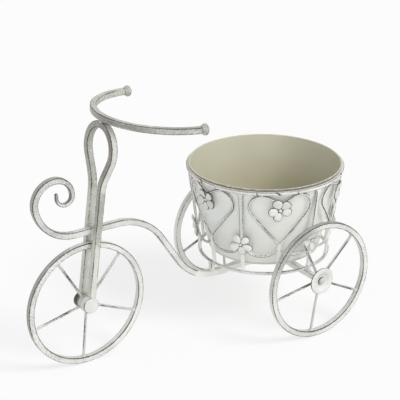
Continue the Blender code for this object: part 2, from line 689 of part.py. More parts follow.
def flower(name, angle, height, radius):
    """Five crowned petals round a button, stamped from thick sheet, facing out of the basket."""
    back = WIRE / 2 + SEAT
    face = back + FLOWER_THICKNESS
    petal = PETAL_ROUND_SHARE * radius
    reach = radius - petal
    outline = []
    for k in range(PETALS):
        for i in range(PETAL_STEPS):
            off = (i / PETAL_STEPS - 0.5) * 2 * math.pi / PETALS
            size = reach * math.cos(off) + math.sqrt(max(0, petal ** 2 - (reach * math.sin(off)) ** 2))
            crown = math.cos(off * PETALS / 2)
            outline.append((2 * math.pi * k / PETALS + off - math.pi / 2, size, crown))
    middle = on_basket(angle, 0, height)
    out = Vector((math.cos(angle), math.sin(angle), -basket_taper)).normalized()
    side = Vector((-math.sin(angle), math.cos(angle), 0))
    up = out.cross(side)

    def ring(share, level, crest=0.0):
        points = []
        for t, size, crown in outline:
            along = math.cos(t) * side + math.sin(t) * up
            points.append(middle + share * size * along + (level + crest * crown) * out)
        return points

    button = BUTTON_FOOT_SHARE * FLOWER_BUTTON_RADIUS / radius
    rings = [[middle + back * out], ring(1, back), ring(1, face), ring(PETAL_CREST_SHARE, face, PETAL_CROWN),
             ring(button, face), [middle + (face + FLOWER_BUTTON_CROWN) * out]]
    add_mesh(name, loft(rings), Vector((pot_x, 0, 0)))


def basket():
    basket_rings()
    for k in range(PANELS):
        number = str(k + 1)
        angle = STRAP_TURN + panel_angle * k
        middle = angle + panel_angle / 2
        strap("basket_strap_" + number, angle, strap_top, STRAP_HEAD_WIDTH)
        flower("strap_flower_" + number, angle, strap_flower_height, STRAP_FLOWER_RADIUS)
        heart("basket_heart_" + number, middle)
        flower("heart_flower_" + number, middle, heart_flower_height, HEART_FLOWER_RADIUS)
        scallop("basket_scallop_" + number, middle)


def pot_piece():
    """Tapered sheet pot with a rolled rim, hung in the basket by that rim."""
    bead = POT_BEAD / 2
    bead_height = bead_bottom + bead
    bead_radius = POT_RIM_RADIUS - bead
    recess = pot_floor + POT_FOOT_HEIGHT
    inside_floor = recess + POT_WALL
    foot_radius = POT_BASE_RADIUS - POT_CORNER
    recess_radius = foot_radius - POT_FOOT_WIDTH
    profile = [(0, recess), (recess_radius, recess),
               (recess_radius + POT_CORNER, pot_floor), (foot_radius, pot_floor),
               (POT_BASE_RADIUS, pot_floor + POT_CORNER), (pot_neck_radius, bead_bottom)]
    for k in range(POT_ROLL_STEPS + 1):
        t = math.pi * (k / POT_ROLL_STEPS - 0.5)
        profile.append((bead_radius + bead * math.cos(t), bead_height + bead * math.sin(t)))
    profile += [(pot_neck_radius - POT_WALL, bead_height),
                (POT_BASE_RADIUS - POT_WALL, inside_floor + POT_CORNER),
                (foot_radius - POT_WALL, inside_floor), (0, inside_floor)]
    add_mesh("pot", turned(profile, steps=ROUND_STEPS), Vector((pot_x, 0, 0)), POT_PAINT)


clear_scene()
front_wheel_group()
fork_piece()
fork_welds()
handlebar_group()
main_bar_piece()
rear_axle_group()
basket_carriers()
basket()
pot_piece()
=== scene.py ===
"""Looks of the tricycle planter: distressed white paint on wrought iron, in soft studio light.

Each fine piece stands for the CAD node of the same name and follows the same middle lines. Its mesh
carries two values: one tells the paint where it is worn through, the other where it is dulled, darkened with
painted shade and lifted with painted light.
"""

import random
from math import acos, atan2, copysign, cos, degrees, exp, hypot, pi, radians, sin, sqrt, tan

import bmesh
import bpy
from mathutils import Matrix, Vector, noise


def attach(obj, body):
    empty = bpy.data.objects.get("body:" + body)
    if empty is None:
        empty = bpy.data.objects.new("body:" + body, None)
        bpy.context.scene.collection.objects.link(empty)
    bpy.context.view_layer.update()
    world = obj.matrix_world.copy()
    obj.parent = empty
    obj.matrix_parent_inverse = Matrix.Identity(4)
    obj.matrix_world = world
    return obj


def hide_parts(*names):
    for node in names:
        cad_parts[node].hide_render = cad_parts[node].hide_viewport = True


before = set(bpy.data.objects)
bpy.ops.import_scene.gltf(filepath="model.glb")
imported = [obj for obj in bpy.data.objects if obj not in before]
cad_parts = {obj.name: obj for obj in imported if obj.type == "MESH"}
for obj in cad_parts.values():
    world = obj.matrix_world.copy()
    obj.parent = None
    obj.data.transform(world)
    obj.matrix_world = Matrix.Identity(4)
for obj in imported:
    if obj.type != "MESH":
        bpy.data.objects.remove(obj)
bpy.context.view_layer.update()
random.seed(7)
MM = 0.001
FULL_TURN = 2 * pi

# Sizes repeated from the part's source
SEAT = 0.3 * MM
RUNNING_FIT = 0.5 * MM
SIDE_PLAY = 0.9 * MM
FRONT_WHEEL_RADIUS = 72.3 * MM
REAR_WHEEL_RADIUS = 70.1 * MM
RIM_BAR = 6.8 * MM
WHEELBASE = 250.6 * MM
REAR_WHEEL_CLEARANCE = 1.8 * MM
SPOKES = 5
SPOKE_DIAMETER = 3.2 * MM
FRONT_SPOKE_TURN = radians(48.5)
LEFT_SPOKE_TURN = radians(44.5)
RIGHT_SPOKE_TURN = radians(59.0)
AXLE_PIN_DIAMETER = 6.0 * MM
HUB_DIAMETER = 18.2 * MM
REAR_HUB_DIAMETER = 14.0 * MM
REAR_HUB_LENGTH = 9.0 * MM
HUB_DISC_DIAMETER = 32.0 * MM
HUB_DISC_DISH = 2.6 * MM
HUB_DISC_SHEET = 1.2 * MM
HUB_DISC_LIP = 2.6 * MM
PIN_HEAD_DIAMETER = 8.4 * MM
PIN_HEAD_HEIGHT = 2.6 * MM
FORK_BAR = 7.5 * MM
FORK_LEAN = radians(7.7)
FORK_LEG_GAP = 1.95 * MM
FORK_LOOP_RADIUS = 25.6 * MM
FORK_NECK_RUN = 20.3 * MM
FORK_FLARE_RADIUS = 38.0 * MM
FORK_FLARE_HEIGHT = 131.5 * MM
BOSS_DIAMETER = 18.6 * MM
HANDLEBAR_BAR = 7.0 * MM
HANDLEBAR_RADIUS = 76.9 * MM
HANDLEBAR_SWEEP = radians(173)
HANDLEBAR_TILT = radians(4.5)
KNOB_DIAMETER = 12.8 * MM
KNOB_LENGTH = 8.8 * MM
KNOB_NECK_DIAMETER = 9.4 * MM
MAIN_BAR = 7.0 * MM
MAIN_BAR_ABOVE_WHEEL = 13.2 * MM
MAIN_BAR_SLOPE = radians(56.8)
LOWER_BEND_RADIUS = 60.0 * MM
UPPER_BEND_RADIUS = 68.0 * MM
LOWER_BEND_AHEAD = 71.0 * MM
MAIN_BAR_TAIL = 9.0 * MM
SCROLL_AHEAD = 11.5 * MM
SCROLL_BENDS = ((46.6 * MM, radians(79.5)), (24.4 * MM, radians(100.5)),
                (20.8 * MM, radians(90.0)), (9.3 * MM, radians(178.0)))
SCROLL_OUTER_BENDS = 2
SCROLL_TIP_RUN = 5.8 * MM
SCROLL_TIP_BAR = 3.4 * MM
AXLE_BEHIND_POT = 7.6 * MM
AXLE_BAR = 6.8 * MM
SADDLE_HEIGHT = 1.8 * MM
POST_BAR = 7.0 * MM
POT_RIM_RADIUS = 89.6 * MM
POT_BASE_RADIUS = 65.9 * MM
POT_DEPTH = 104.7 * MM
POT_ABOVE_BASE_RING = 3.8 * MM
POT_BEAD = 2.4 * MM
POT_WALL = 0.9 * MM
POT_FOOT_HEIGHT = 2.2 * MM
POT_FOOT_WIDTH = 5.0 * MM
POT_CORNER = 2.0 * MM
POT_CLEARANCE = 0.5 * MM
TOP_RING_WIDTH = 3.3 * MM
TOP_RING_DEPTH = 5.4 * MM
BASE_RING_GAP = 10.2 * MM
BASE_RING_WIRE = 4.0 * MM
PANELS = 6
STRAP_TURN = radians(35.3)
STRAP_WIDTH = 4.6 * MM
STRAP_THICKNESS = 3.0 * MM
STRAP_HEAD_WIDTH = 11.0 * MM
STRAP_HEAD_HEIGHT = 7.0 * MM
STRAP_HEAD_INSET = 1.3 * MM
WIRE = 3.0 * MM
HEART_SIDE_GAP = 5.6 * MM
HEART_LOBE_RADIUS = 14.6 * MM
HEART_TIP_SHARE = 0.37
HEART_NOTCH_DEPTH = 9.0 * MM
SCALLOP_DEPTH = 13.5 * MM
SCALLOP_BELOW_TIP = 3.0 * MM
SCALLOP_ROUND_SHARE = 0.8
PETALS = 5
HEART_FLOWER_RADIUS = 14.0 * MM
HEART_FLOWER_BELOW_NOTCH = 7.0 * MM
STRAP_FLOWER_RADIUS = 13.2 * MM
STRAP_FLOWER_SHARE = 0.34

# Fineness of the meshes
STEP = 2.0 * MM                    # length of a bar between two rings of its mesh
BAR_CORNER = 0.9 * MM              # corner radius of the square bars
CORNER_WEAR = (0.50, 0.85, 1.0, 0.85, 0.50)
LUMP = 0.16 * MM                   # how far brushed paint and rolled bar stray from true
LUMP_SCALE = 150.0
WIRE_SIDES = 24
PETAL_SIDES = 28
PETAL_RINGS = 6
POT_SIDES = 160
WALL_STEPS = 40
RING_STEPS = 240
BASE_RING_STEPS = 200
AXLE_STEPS = 90
SPOKE_STEPS = 24

# Where the photographed piece strays from the solids
RIM_LOWERED = 1.4 * MM             # its pot's rim sits this much lower
BOSS_MOVED = Vector((-1.4 * MM, 0, 2.3 * MM))
BOSS_PROUD = 0.5 * MM
FLOWER_ASIDE = -1.0 * MM
FLOWER_UP = 0.8 * MM
FLOWER_BROADER = 0.20              # across the strap, as a share
FRONT_FLOWER_LOWERED = 5.0 * MM
HEART_FLOWER_ASIDE = -1.4 * MM
HEART_FLOWER_UP = -1.3 * MM
HEART_FLOWER_TURN = -0.12
HEART_FLOWER_SCALE = 1.06
RING_NICKS = ((3.9712, 0.8, 0.4), (4.2353, 1.9, 1.6), (4.4832, 0.8, -0.4))   # angle, depth, tilt

# Small welds that only the looks have: half sizes in millimetres
WELDS = {
    "spoke": (2.3, 2.6, 2.3),
    "fork": (5.0, 1.6, 5.2),
    "handlebar": (4.2, 5.0, 1.1),
    "saddle": (3.2, 4.4, 1.9),
    "heart_top": (1.9, 1.9, 1.2),
    "heart_tip": (2.0, 2.0, 1.4),
    "strap_foot": (2.1, 2.1, 1.2),
}
HEART_WELD_ASIDE = 22.4 * MM
WELD_SUNK = 0.2 * MM
SPOKE_IN_HUB = 1.5 * MM
SPOKE_FLARE = 1.5 * MM

# Places worked out from the sizes, as in the part's source
pot_neck_radius = POT_RIM_RADIUS - POT_BEAD + POT_WALL
top_ring_inner = pot_neck_radius + POT_CLEARANCE
top_ring_outer = top_ring_inner + TOP_RING_WIDTH
pot_x = (WHEELBASE - AXLE_BEHIND_POT + FRONT_WHEEL_RADIUS - top_ring_outer) / 2
rear_axle_x = pot_x + AXLE_BEHIND_POT
front_axle_x = rear_axle_x - WHEELBASE
pin_radius = AXLE_PIN_DIAMETER / 2
bore_radius = pin_radius + RUNNING_FIT
track_half = top_ring_outer + REAR_WHEEL_CLEARANCE + RIM_BAR / 2
main_bar_height = 2 * FRONT_WHEEL_RADIUS + MAIN_BAR_ABOVE_WHEEL
flat_height = REAR_WHEEL_RADIUS - AXLE_BAR / 2 - SEAT - MAIN_BAR / 2
axle_top = REAR_WHEEL_RADIUS + AXLE_BAR / 2
base_ring_radius = POT_BASE_RADIUS + BASE_RING_GAP
base_ring_bottom = axle_top + SADDLE_HEIGHT + 2 * SEAT
base_ring_top = base_ring_bottom + BASE_RING_WIRE
pot_floor = base_ring_top + POT_ABOVE_BASE_RING
bead_bottom = pot_floor + POT_DEPTH - POT_BEAD
top_ring_top = bead_bottom - SEAT
top_ring_bottom = top_ring_top - TOP_RING_DEPTH
strap_head_radius = (top_ring_inner + top_ring_outer) / 2 - STRAP_HEAD_INSET
strap_top = top_ring_bottom - SEAT
strap_bottom = base_ring_top + SEAT
basket_height = strap_top - strap_bottom
basket_taper = (strap_head_radius - base_ring_radius) / basket_height
panel_angle = FULL_TURN / PANELS
heart_top = strap_top - WIRE / 2
heart_notch = heart_top - HEART_NOTCH_DEPTH
heart_tip = strap_bottom + HEART_TIP_SHARE * basket_height
scallop_top = heart_tip - SCALLOP_BELOW_TIP
heart_flower_height = heart_notch - HEART_FLOWER_BELOW_NOTCH
strap_flower_height = strap_bottom + STRAP_FLOWER_SHARE * basket_height
leg_inner = MAIN_BAR / 2 + FORK_LEG_GAP
leg_middle = leg_inner + FORK_BAR / 2
leg_outer = leg_inner + FORK_BAR
bend_radii = FORK_FLARE_RADIUS + FORK_LOOP_RADIUS
bends_apart = leg_middle + FORK_FLARE_RADIUS
bends_rise = sqrt(bend_radii ** 2 + FORK_NECK_RUN ** 2 - bends_apart ** 2)
flare_angle = atan2(bends_rise, bends_apart) - atan2(FORK_NECK_RUN, bend_radii)
fork_crown = FORK_FLARE_HEIGHT + bends_rise + FORK_LOOP_RADIUS

SIDES = (("_left", -1), ("_right", 1))
ACROSS = Vector((0, 1, 0))
UPRIGHT = Vector((0, 0, 1))
FORK_UP = Vector((sin(FORK_LEAN), 0, cos(FORK_LEAN)))
FRONT_AXLE = Vector((front_axle_x, 0, FRONT_WHEEL_RADIUS))
REAR_AXLE = Vector((rear_axle_x, 0, REAR_WHEEL_RADIUS))

# Surroundings
LENS = 117.0
SENSOR = 36.0
CAMERA_PLACE = (pot_x - 0.8583, -1.1205, 0.7363)
CAMERA_RIGHT = (0.8253, -0.5647, 0.0)
CAMERA_BACK = (-0.5196, -0.7594, 0.3914)
WORLD_LIGHT = 0.57
FLOOR_HALF = 8.0
FLOOR_GLOW = 1.020
FLOOR_GLOW_SHARE = 0.68
FLOOR_WHITE = (0.90, 0.90, 0.90)
PURE_WHITE = (1.0, 1.0, 1.0)


def add_object(name, data):
    item = bpy.data.objects.new(name, data)
    bpy.context.scene.collection.objects.link(item)
    return item


def camera():
    """Camera at the photograph's place and angle."""
    data = bpy.data.cameras.new("camera")
    data.sensor_width = SENSOR
    data.lens = LENS
    data.clip_end = 20.0
    item = add_object("camera", data)
    back = Vector(CAMERA_BACK).normalized()
    up = back.cross(Vector(CAMERA_RIGHT).normalized()).normalized()
    turn = Matrix((up.cross(back), up, back)).transposed().to_4x4()
    item.matrix_world = Matrix.Translation(CAMERA_PLACE) @ turn
    bpy.context.scene.camera = item


def sun(name, towards, strength, spread):
    data = bpy.data.lights.new(name, "SUN")
    data.energy = strength
    data.angle = radians(spread)
    add_object(name, data).rotation_euler = Vector(towards).to_track_quat("Z", "Y").to_euler()


def surroundings():
    """White floor that keeps a faint shadow, a pale world, and soft light from the right."""
    bpy.context.scene.view_settings.view_transform = "Standard"
    world = bpy.data.worlds.new("studio")
    bpy.context.scene.world = world
    sky = Nodes(world)
    light = sky.white_for_camera(WORLD_LIGHT, 1.0)
    sky.feed(sky.tree.nodes["Background"], {"Color": PURE_WHITE, "Strength": light})

    mesh = bpy.data.meshes.new("floor")
    corners = [(x * FLOOR_HALF, y * FLOOR_HALF, 0) for x, y in ((-1, -1), (1, -1), (1, 1), (-1, 1))]
    mesh.from_pydata(corners, [], [(0, 1, 2, 3)])
    floor = add_object("floor", mesh)
    p = Paint("floor_white")
    p.feed(p.shader, {"Base Color": FLOOR_WHITE, "Roughness": 0.95, "Specular IOR Level": 0.0})
    glow = p.node("Emission")
    p.feed(glow, {"Color": PURE_WHITE, "Strength": FLOOR_GLOW})
    blend = p.node("MixShader")
    p.feed(blend, {"Fac": p.white_for_camera(0.0, FLOOR_GLOW_SHARE),
                   1: p.shader.outputs[0], 2: glow.outputs[0]})
    p.feed(p.tree.nodes["Material Output"], {"Surface": blend.outputs[0]})
    mesh.materials.append(p.material)
    sun("key", (0.42, -0.78, 0.90), 1.65, 24)
    sun("bounce", (-0.72, -0.76, 0.10), 0.85, 40)


# Materials

class Nodes:
    """Small helper that adds nodes to the tree of a world or a material."""

    def __init__(self, owner):
        owner.use_nodes = True
        self.tree = owner.node_tree

    def node(self, kind):
        return self.tree.nodes.new("ShaderNode" + kind)

    def feed(self, node, sources):
        """Set a node's inputs to numbers or colours, or link them."""
        for name, source in sources.items():
            if isinstance(source, (int, float)):
                node.inputs[name].default_value = source
            elif isinstance(source, tuple):
                node.inputs[name].default_value = (*source, 1.0)
            else:
                self.tree.links.new(source, node.inputs[name])

    def calc(self, operation, *terms):
        node = self.node("Math")
        node.operation = operation
        self.feed(node, dict(enumerate(terms)))
        return node.outputs[0]

    def white_for_camera(self, dim, bright):
        """A strength that is bright where the camera, gloss or glass sees it directly, and dim as a light."""
        path = self.node("LightPath").outputs
        seen = path["Is Camera Ray"]
        for ray in ("Is Glossy Ray", "Is Transmission Ray"):
            seen = self.calc("MAXIMUM", seen, path[ray])
        node = self.node("MapRange")
        self.feed(node, {"Value": seen, "To Min": dim, "To Max": bright})
        return node.outputs["Result"]


class Paint(Nodes):
    """One material, with the marks, noise and coats that a paint is made of."""

    def __init__(self, name):
        self.material = bpy.data.materials.new(name)
        super().__init__(self.material)
        self.shader = self.tree.nodes["Principled BSDF"]
        self.place = self.node("TexCoord").outputs["Object"]

    def noise(self, scale, detail=3.0, roughness=0.55):
        node = self.node("TexNoise")
        self.feed(node, {"Scale": scale, "Detail": detail, "Roughness": roughness, "Vector": self.place})
        return node.outputs["Fac"]

    def plus(self, value, times, rest):
        """A value times a number, plus the rest."""
        return self.calc("MULTIPLY_ADD", value, times, rest)

    def spread(self, value, low, high, to_low=0.0, to_high=1.0):
        """Smooth step from one range to another."""
        node = self.node("MapRange")
        node.interpolation_type = "SMOOTHSTEP"
        self.feed(node, {"Value": value, "From Min": low, "From Max": high,
                         "To Min": to_low, "To Max": to_high})
        return node.outputs["Result"]

    def mix(self, share, one, two):
        node = self.node("Mix")
        node.data_type = "RGBA"
        self.feed(node, {"Factor": share, "A": one, "B": two})
        return node.outputs["Result"]

    def over(self, colour, coat, value, low, high, most=1.0):
        """Lay a coat over a colour, where a value rises from low to high."""
        return self.mix(self.spread(value, low, high, 0.0, most), colour, coat)

    def mark(self, name):
        """A value stored on the mesh by name: edge for wear, and the other for dulling with painted shade and
        light.
        """
        node = self.node("Attribute")
        node.attribute_name = name
        return node.outputs["Fac"]

    def streak(self, scale, squeeze):
        """Noise drawn out along Z."""
        node = self.node("VectorMath")
        node.operation = "MULTIPLY"
        self.tree.links.new(self.place, node.inputs[0])
        node.inputs[1].default_value = (1.0, 1.0, squeeze)
        place, self.place = self.place, node.outputs["Vector"]
        fac = self.noise(scale)
        self.place = place
        return fac

    def crevice(self):
        """1 deep in a crevice, 0 in the open."""
        node = self.node("AmbientOcclusion")
        node.samples = 6
        self.feed(node, {"Distance": CREVICE})
        return self.calc("SUBTRACT", 1.0, node.outputs["AO"])

    def finish(self, colour, roughness, height, depth, strength):
        """Colour, roughness and fine relief of the surface."""
        bump = self.node("Bump")
        self.feed(bump, {"Distance": depth, "Strength": strength, "Height": height})
        self.feed(self.shader, {"Base Color": colour, "Roughness": roughness,
                                "Normal": bump.outputs["Normal"]})
        return self.material


CREVICE = 3.0 * MM                 # how wide a crevice still gathers grime and painted shade
WHITE = (0.735, 0.735, 0.705)
GREYED = (0.590, 0.605, 0.575)
RUBBED = (0.320, 0.303, 0.280)
PATINA_AND_SHADE = (0.300, 0.295, 0.285)
# Brighter white, laid on as painted light
FRESH_AND_LIT = (0.860, 0.850, 0.810)
BROWNED = (0.155, 0.115, 0.100)
BARE = (0.072, 0.064, 0.059)
# Dark wash for grime and painted shade in crevices
GRIME_AND_SHADE = (0.230, 0.205, 0.180)
VERDIGRIS = (0.480, 0.530, 0.480)
POT_WARM = (0.780, 0.775, 0.728)
POT_COOL_AND_SHEEN = (0.810, 0.832, 0.812)
POT_STREAK = (0.705, 0.70, 0.645)
POT_DULLED_AND_SHADED = (0.52, 0.50, 0.45)
PRIMER_FLOOR = (0.500, 0.467, 0.318)
PRIMER_WALL = (0.587, 0.568, 0.458)
PRIMER_RIM_SHADE = (0.505, 0.488, 0.388)
PRIMER_CLOUD = (0.530, 0.517, 0.400)
PRIMER_SPECK = (0.425, 0.400, 0.300)
PRIMER_RIM_HEIGHT = 24.0 * MM
STEEL = (0.30, 0.28, 0.26)
STAINED = (0.16, 0.13, 0.11)
PLAIN = (1.0, 1.0, 1.0)            # casts that tint a paint
OLIVE = (1.000, 1.000, 0.950)
PINKISH = (1.030, 0.998, 0.985)


def tinted(colour, share, cast):
    return tuple(share * c * k for c, k in zip(colour, cast))


def worn_paint(name, bright, wear, specks, grime_and_shade=0.6, streaks=0.0, metal=0.0, cast=PLAIN):
    """Antique white paint, rubbed through along the edges, grimy and darkened with painted shade in its
    crevices, and lifted with painted light where its mesh asks for it.
    """
    rubbed = tinted(RUBBED, 1.0, cast)
    p = Paint(name)
    edge = p.mark("edge")
    rub_and_shading = p.mark("rub_and_shading")
    patch = p.noise(34.0, 2.0)
    flake = p.noise(560.0, 5.0, 0.70)
    grain = p.noise(820.0, 4.0, 0.60)
    colour = p.over(tinted(WHITE, bright, cast), tinted(GREYED, bright, cast), p.noise(24.0), 0.35, 0.68)
    if streaks:
        colour = p.over(colour, VERDIGRIS, p.streak(330.0, 0.10), 0.45, 0.68, streaks)
    # Patina, and painted shade where the mesh value darkens faces turned away from the light
    aged_and_shaded = p.plus(flake, 1.4, p.calc("SUBTRACT", p.plus(patch, 0.8, rub_and_shading), 0.35))
    colour = p.over(colour, tinted(PATINA_AND_SHADE, 1.0, cast), aged_and_shaded, 1.10, 1.55, 0.85)
    colour = p.over(colour, BROWNED, aged_and_shaded, 1.78, 2.02, 0.80)
    # Painted light: where the mesh value is below zero the paint is lifted towards a brighter white
    colour = p.mix(p.spread(rub_and_shading, -1.0, 0.0, 0.9, 0.0), colour, FRESH_AND_LIT)
    speckled = p.plus(rub_and_shading, 0.07, p.plus(edge, 0.13, grain))
    colour = p.over(colour, rubbed, speckled, 0.57, 0.70, specks)
    worn = p.calc("ADD", p.plus(flake, 1.8, p.plus(patch, 1.1, edge)), wear)
    colour = p.over(colour, rubbed, worn, 1.95, 2.40, 0.6)
    bare = p.spread(worn, 2.24, 2.40)
    colour = p.mix(bare, colour, BARE)
    # Grime and painted shade: darker where the ambient occlusion finds a crevice
    colour = p.over(colour, GRIME_AND_SHADE, p.crevice(), 0.40, 0.90, grime_and_shade)
    if metal:
        p.feed(p.shader, {"Metallic": p.calc("MULTIPLY", bare, metal)})
    height = p.plus(grain, 0.2, p.plus(flake, 0.7, p.calc("MULTIPLY", bare, -0.8)))
    return p.finish(colour, p.spread(bare, 0.0, 1.0, 0.44, 0.62 - 0.3 * metal), height, 0.22 * MM, 0.7)


def pot_outside():
    """Smooth off-white sheet with cool and warm clouds, the cool ones partly a painted reflection, grimy and
    darkened with painted shade behind the wires.
    """
    p = Paint("pot_white")
    # Cool clouds: tone that varies, and partly a painted reflection of the lights
    colour = p.over(POT_WARM, POT_COOL_AND_SHEEN, p.noise(16.0, 2.0), 0.35, 0.68)
    colour = p.over(colour, POT_STREAK, p.noise(160.0, 5.0), 0.55, 0.78, 0.35)
    # Grime and painted shade behind the wires, from the ambient occlusion
    colour = p.over(colour, GRIME_AND_SHADE, p.crevice(), 0.30, 0.85, 0.45)
    # Dulled and darkened along the marked edges: the foot, and the bead's dark line, which is partly painted
    # shade
    colour = p.over(colour, POT_DULLED_AND_SHADED, p.mark("edge"), 0.25, 0.6, 0.7)
    chips = p.plus(p.noise(300.0, 4.0), 0.9, p.mark("edge"))
    colour = p.over(colour, BARE, chips, 1.30, 1.46, 0.9)
    return p.finish(colour, 0.32, p.noise(500.0), 0.05 * MM, 0.4)


def pot_inside():
    """Beige primer inside the pot, greener towards its floor, and darkened under its rim with painted shade.
    """
    p = Paint("pot_beige")
    place = p.node("SeparateXYZ")
    p.feed(place, {"Vector": p.place})
    height = place.outputs["Z"]
    colour = p.over(PRIMER_FLOOR, PRIMER_WALL, height, pot_floor, top_ring_top)
    # Painted shade: a darker band under the rim
    colour = p.over(colour, PRIMER_RIM_SHADE, height, top_ring_top - PRIMER_RIM_HEIGHT, top_ring_top, 0.5)
    colour = p.over(colour, PRIMER_CLOUD, p.noise(30.0), 0.35, 0.70, 0.4)
    colour = p.over(colour, PRIMER_SPECK, p.noise(900.0), 0.62, 0.78, 0.25)
    chips = p.plus(p.noise(300.0, 4.0), 0.9, p.mark("edge"))
    colour = p.over(colour, BARE, chips, 1.05, 1.35, 0.9)
    return p.finish(colour, 0.42, p.noise(600.0), 0.05 * MM, 0.5)


def dull_steel():
    """Bare pin steel, brushed and stained."""
    p = Paint("pin_steel")
    stain = p.spread(p.noise(700.0, 4.0), 0.35, 0.70)
    p.feed(p.shader, {"Metallic": 0.85})
    return p.finish(p.mix(stain, STEEL, STAINED), p.spread(stain, 0.0, 1.0, 0.38, 0.62), stain, 0.1 * MM, 0.5)


# Meshes

def lumpy(point):
    """A small stray of a hand-finished surface, in metres: always inwards."""
    return 0.5 * LUMP * (noise.noise(point * LUMP_SCALE) - 1)


def turns(count):
    """Angles in equal steps round a full turn."""
    return [FULL_TURN * k / count for k in range(count)]


def wheel_ray(angle):
    """Direction out from a wheel's axle."""
    return Vector((cos(angle), 0, sin(angle)))


def ring_ray(angle):
    """Direction out from the pot's axis."""
    return Vector((cos(angle), sin(angle), 0))


def around(value, middle, half, turn=0.0):
    """1 near a middle value, falling to 0 beyond half a width on each side. turn is a full circle, if any."""
    off = value - middle
    if turn:
        off = (off + turn / 2) % turn - turn / 2
    return exp(-(off / half) ** 4)


def ramp(value, start, end):
    """0 up to start, 1 from end on, and smooth between them."""
    share = min(max((value - start) / (end - start), 0.0), 1.0)
    return share * share * (3 - 2 * share)


def put(name, bm, paint, body="frame", nodes=None, more=()):
    """Turn a bmesh into a piece that rides on a body.

    It stands for the CAD nodes given, for the one of its own name if none are given, or for none if ().
    """
    bmesh.ops.recalc_face_normals(bm, faces=bm.faces)
    mesh = bpy.data.meshes.new(name)
    bm.to_mesh(mesh)
    bm.free()
    mesh.shade_smooth()
    for key in (paint, *more):
        mesh.materials.append(look[key])
    piece = add_object(name, mesh)
    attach(piece, body)
    nodes = [name] if nodes is None else nodes
    if nodes:
        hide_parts(*nodes)


def new_mesh():
    bm = bmesh.new()
    bm.verts.layers.float.new("edge")
    bm.verts.layers.float.new("rub_and_shading")
    return bm


def band(bm, one, two, closed=True):
    """Quads between two lines of vertices."""
    for i in range(len(one) if closed else len(one) - 1):
        j = (i + 1) % len(one)
        bm.faces.new((one[i], one[j], two[j], two[i]))


def middle_of(ring):
    return sum((point for point, _ in ring), Vector()) / len(ring)


def skin(bm, rings, closed=False):
    """Skin rings of (point, value) pairs with quads. A value is an edge, or an edge and a second value for
    dulling with painted shade and light.
    """
    layer = bm.verts.layers.float["edge"]
    rub_and_shading_layer = bm.verts.layers.float["rub_and_shading"]
    grid = []
    for ring in rings:
        middle = middle_of(ring)
        line = []
        for point, value in ring:
            vert = bm.verts.new(point + lumpy(point) * (point - middle).normalized())
            vert[layer], vert[rub_and_shading_layer] = value if isinstance(value, tuple) else (value, 0.0)
            line.append(vert)
        grid.append(line)
    for one, two in zip(grid, grid[1:] + grid[:1] if closed else grid[1:]):
        band(bm, one, two)
    if not closed:
        bm.faces.new(grid[0])
        bm.faces.new(grid[-1])
    return bm


def bar_section(width, height, corner=BAR_CORNER):
    """Points (u, v, edge) of a bar with rounded corners, and rows beside each corner."""
    corner = min(corner, 0.3 * min(width, height))
    a, b = width / 2, height / 2
    beside = min(0.9 * MM, 0.45 * (min(a, b) - corner))
    points = []
    for half, side, c, s in ((a, b, 1, 0), (b, a, 0, 1), (a, b, -1, 0), (b, a, 0, -1)):
        local = [(half, side - corner - beside, 0.15)]
        for m, value in enumerate(CORNER_WEAR):
            q = m / 4 * pi / 2
            local.append((half - corner + corner * cos(q), side - corner + corner * sin(q), value))
        local += [(half - corner - beside, side, 0.15), (0.0, side, 0.0)]
        points += [(x * c - y * s, x * s + y * c, e) for x, y, e in local]
    return points


class BarPath:
    """The middle line of a bar bent in one plane, in short steps."""

    def __init__(self, start, heading):
        self.length = 0.0
        self.stations = []
        self.mark(heading, Vector(start), 0.0)

    def mark(self, heading, point, step):
        self.heading = heading
        self.point = point
        self.length += step
        self.stations.append((point.copy(), heading, self.length))

    def run(self, length):
        steps = max(1, round(length / STEP))
        ahead = Vector((cos(self.heading), sin(self.heading)))
        for _ in range(steps):
            self.mark(self.heading, self.point + length / steps * ahead, length / steps)
        return self

    def bend(self, radius, angle):
        side = copysign(1, angle)
        start = self.heading
        centre = self.point + side * radius * Vector((-sin(start), cos(start)))
        steps = max(6, round(radius * abs(angle) / STEP))
        for k in range(1, steps + 1):
            heading = start + angle * k / steps
            left = Vector((-sin(heading), cos(heading)))
            self.mark(heading, centre - side * radius * left, radius * abs(angle) / steps)
        return self


def bent_bar(path, right, up, size, wear, origin=Vector()):
    """Rings of a square bar, swept along a path in the plane of right and up.

    size gives the bar at a length along the path, and wear the paint's values at a point of it.
    """
    across = right.cross(up)
    rings = []
    for point, heading, travelled in path.stations:
        now = size(travelled)
        half = now / 2
        middle = origin + point.x * right + point.y * up
        inward = -sin(heading) * right + cos(heading) * up
        rings.append([(middle + u * across + v * inward, wear(travelled / path.length, u / half, v / half, e))
                      for u, v, e in bar_section(now, now)])
    return rings


def round_ends(rings):
    """Pull in the last rings of a bar and close it with smaller ones."""
    for at, beside in ((0, 1), (-1, -2)):
        middle = middle_of(rings[at])
        back = (middle_of(rings[beside]) - middle).normalized()
        end = [(middle + 0.86 * (point - middle), 0.9) for point, _ in rings[at]]
        rings[at] = [(point + 0.5 * MM * back, value) for point, value in rings[at]]
        rings.insert(len(rings) if at else 0, end)


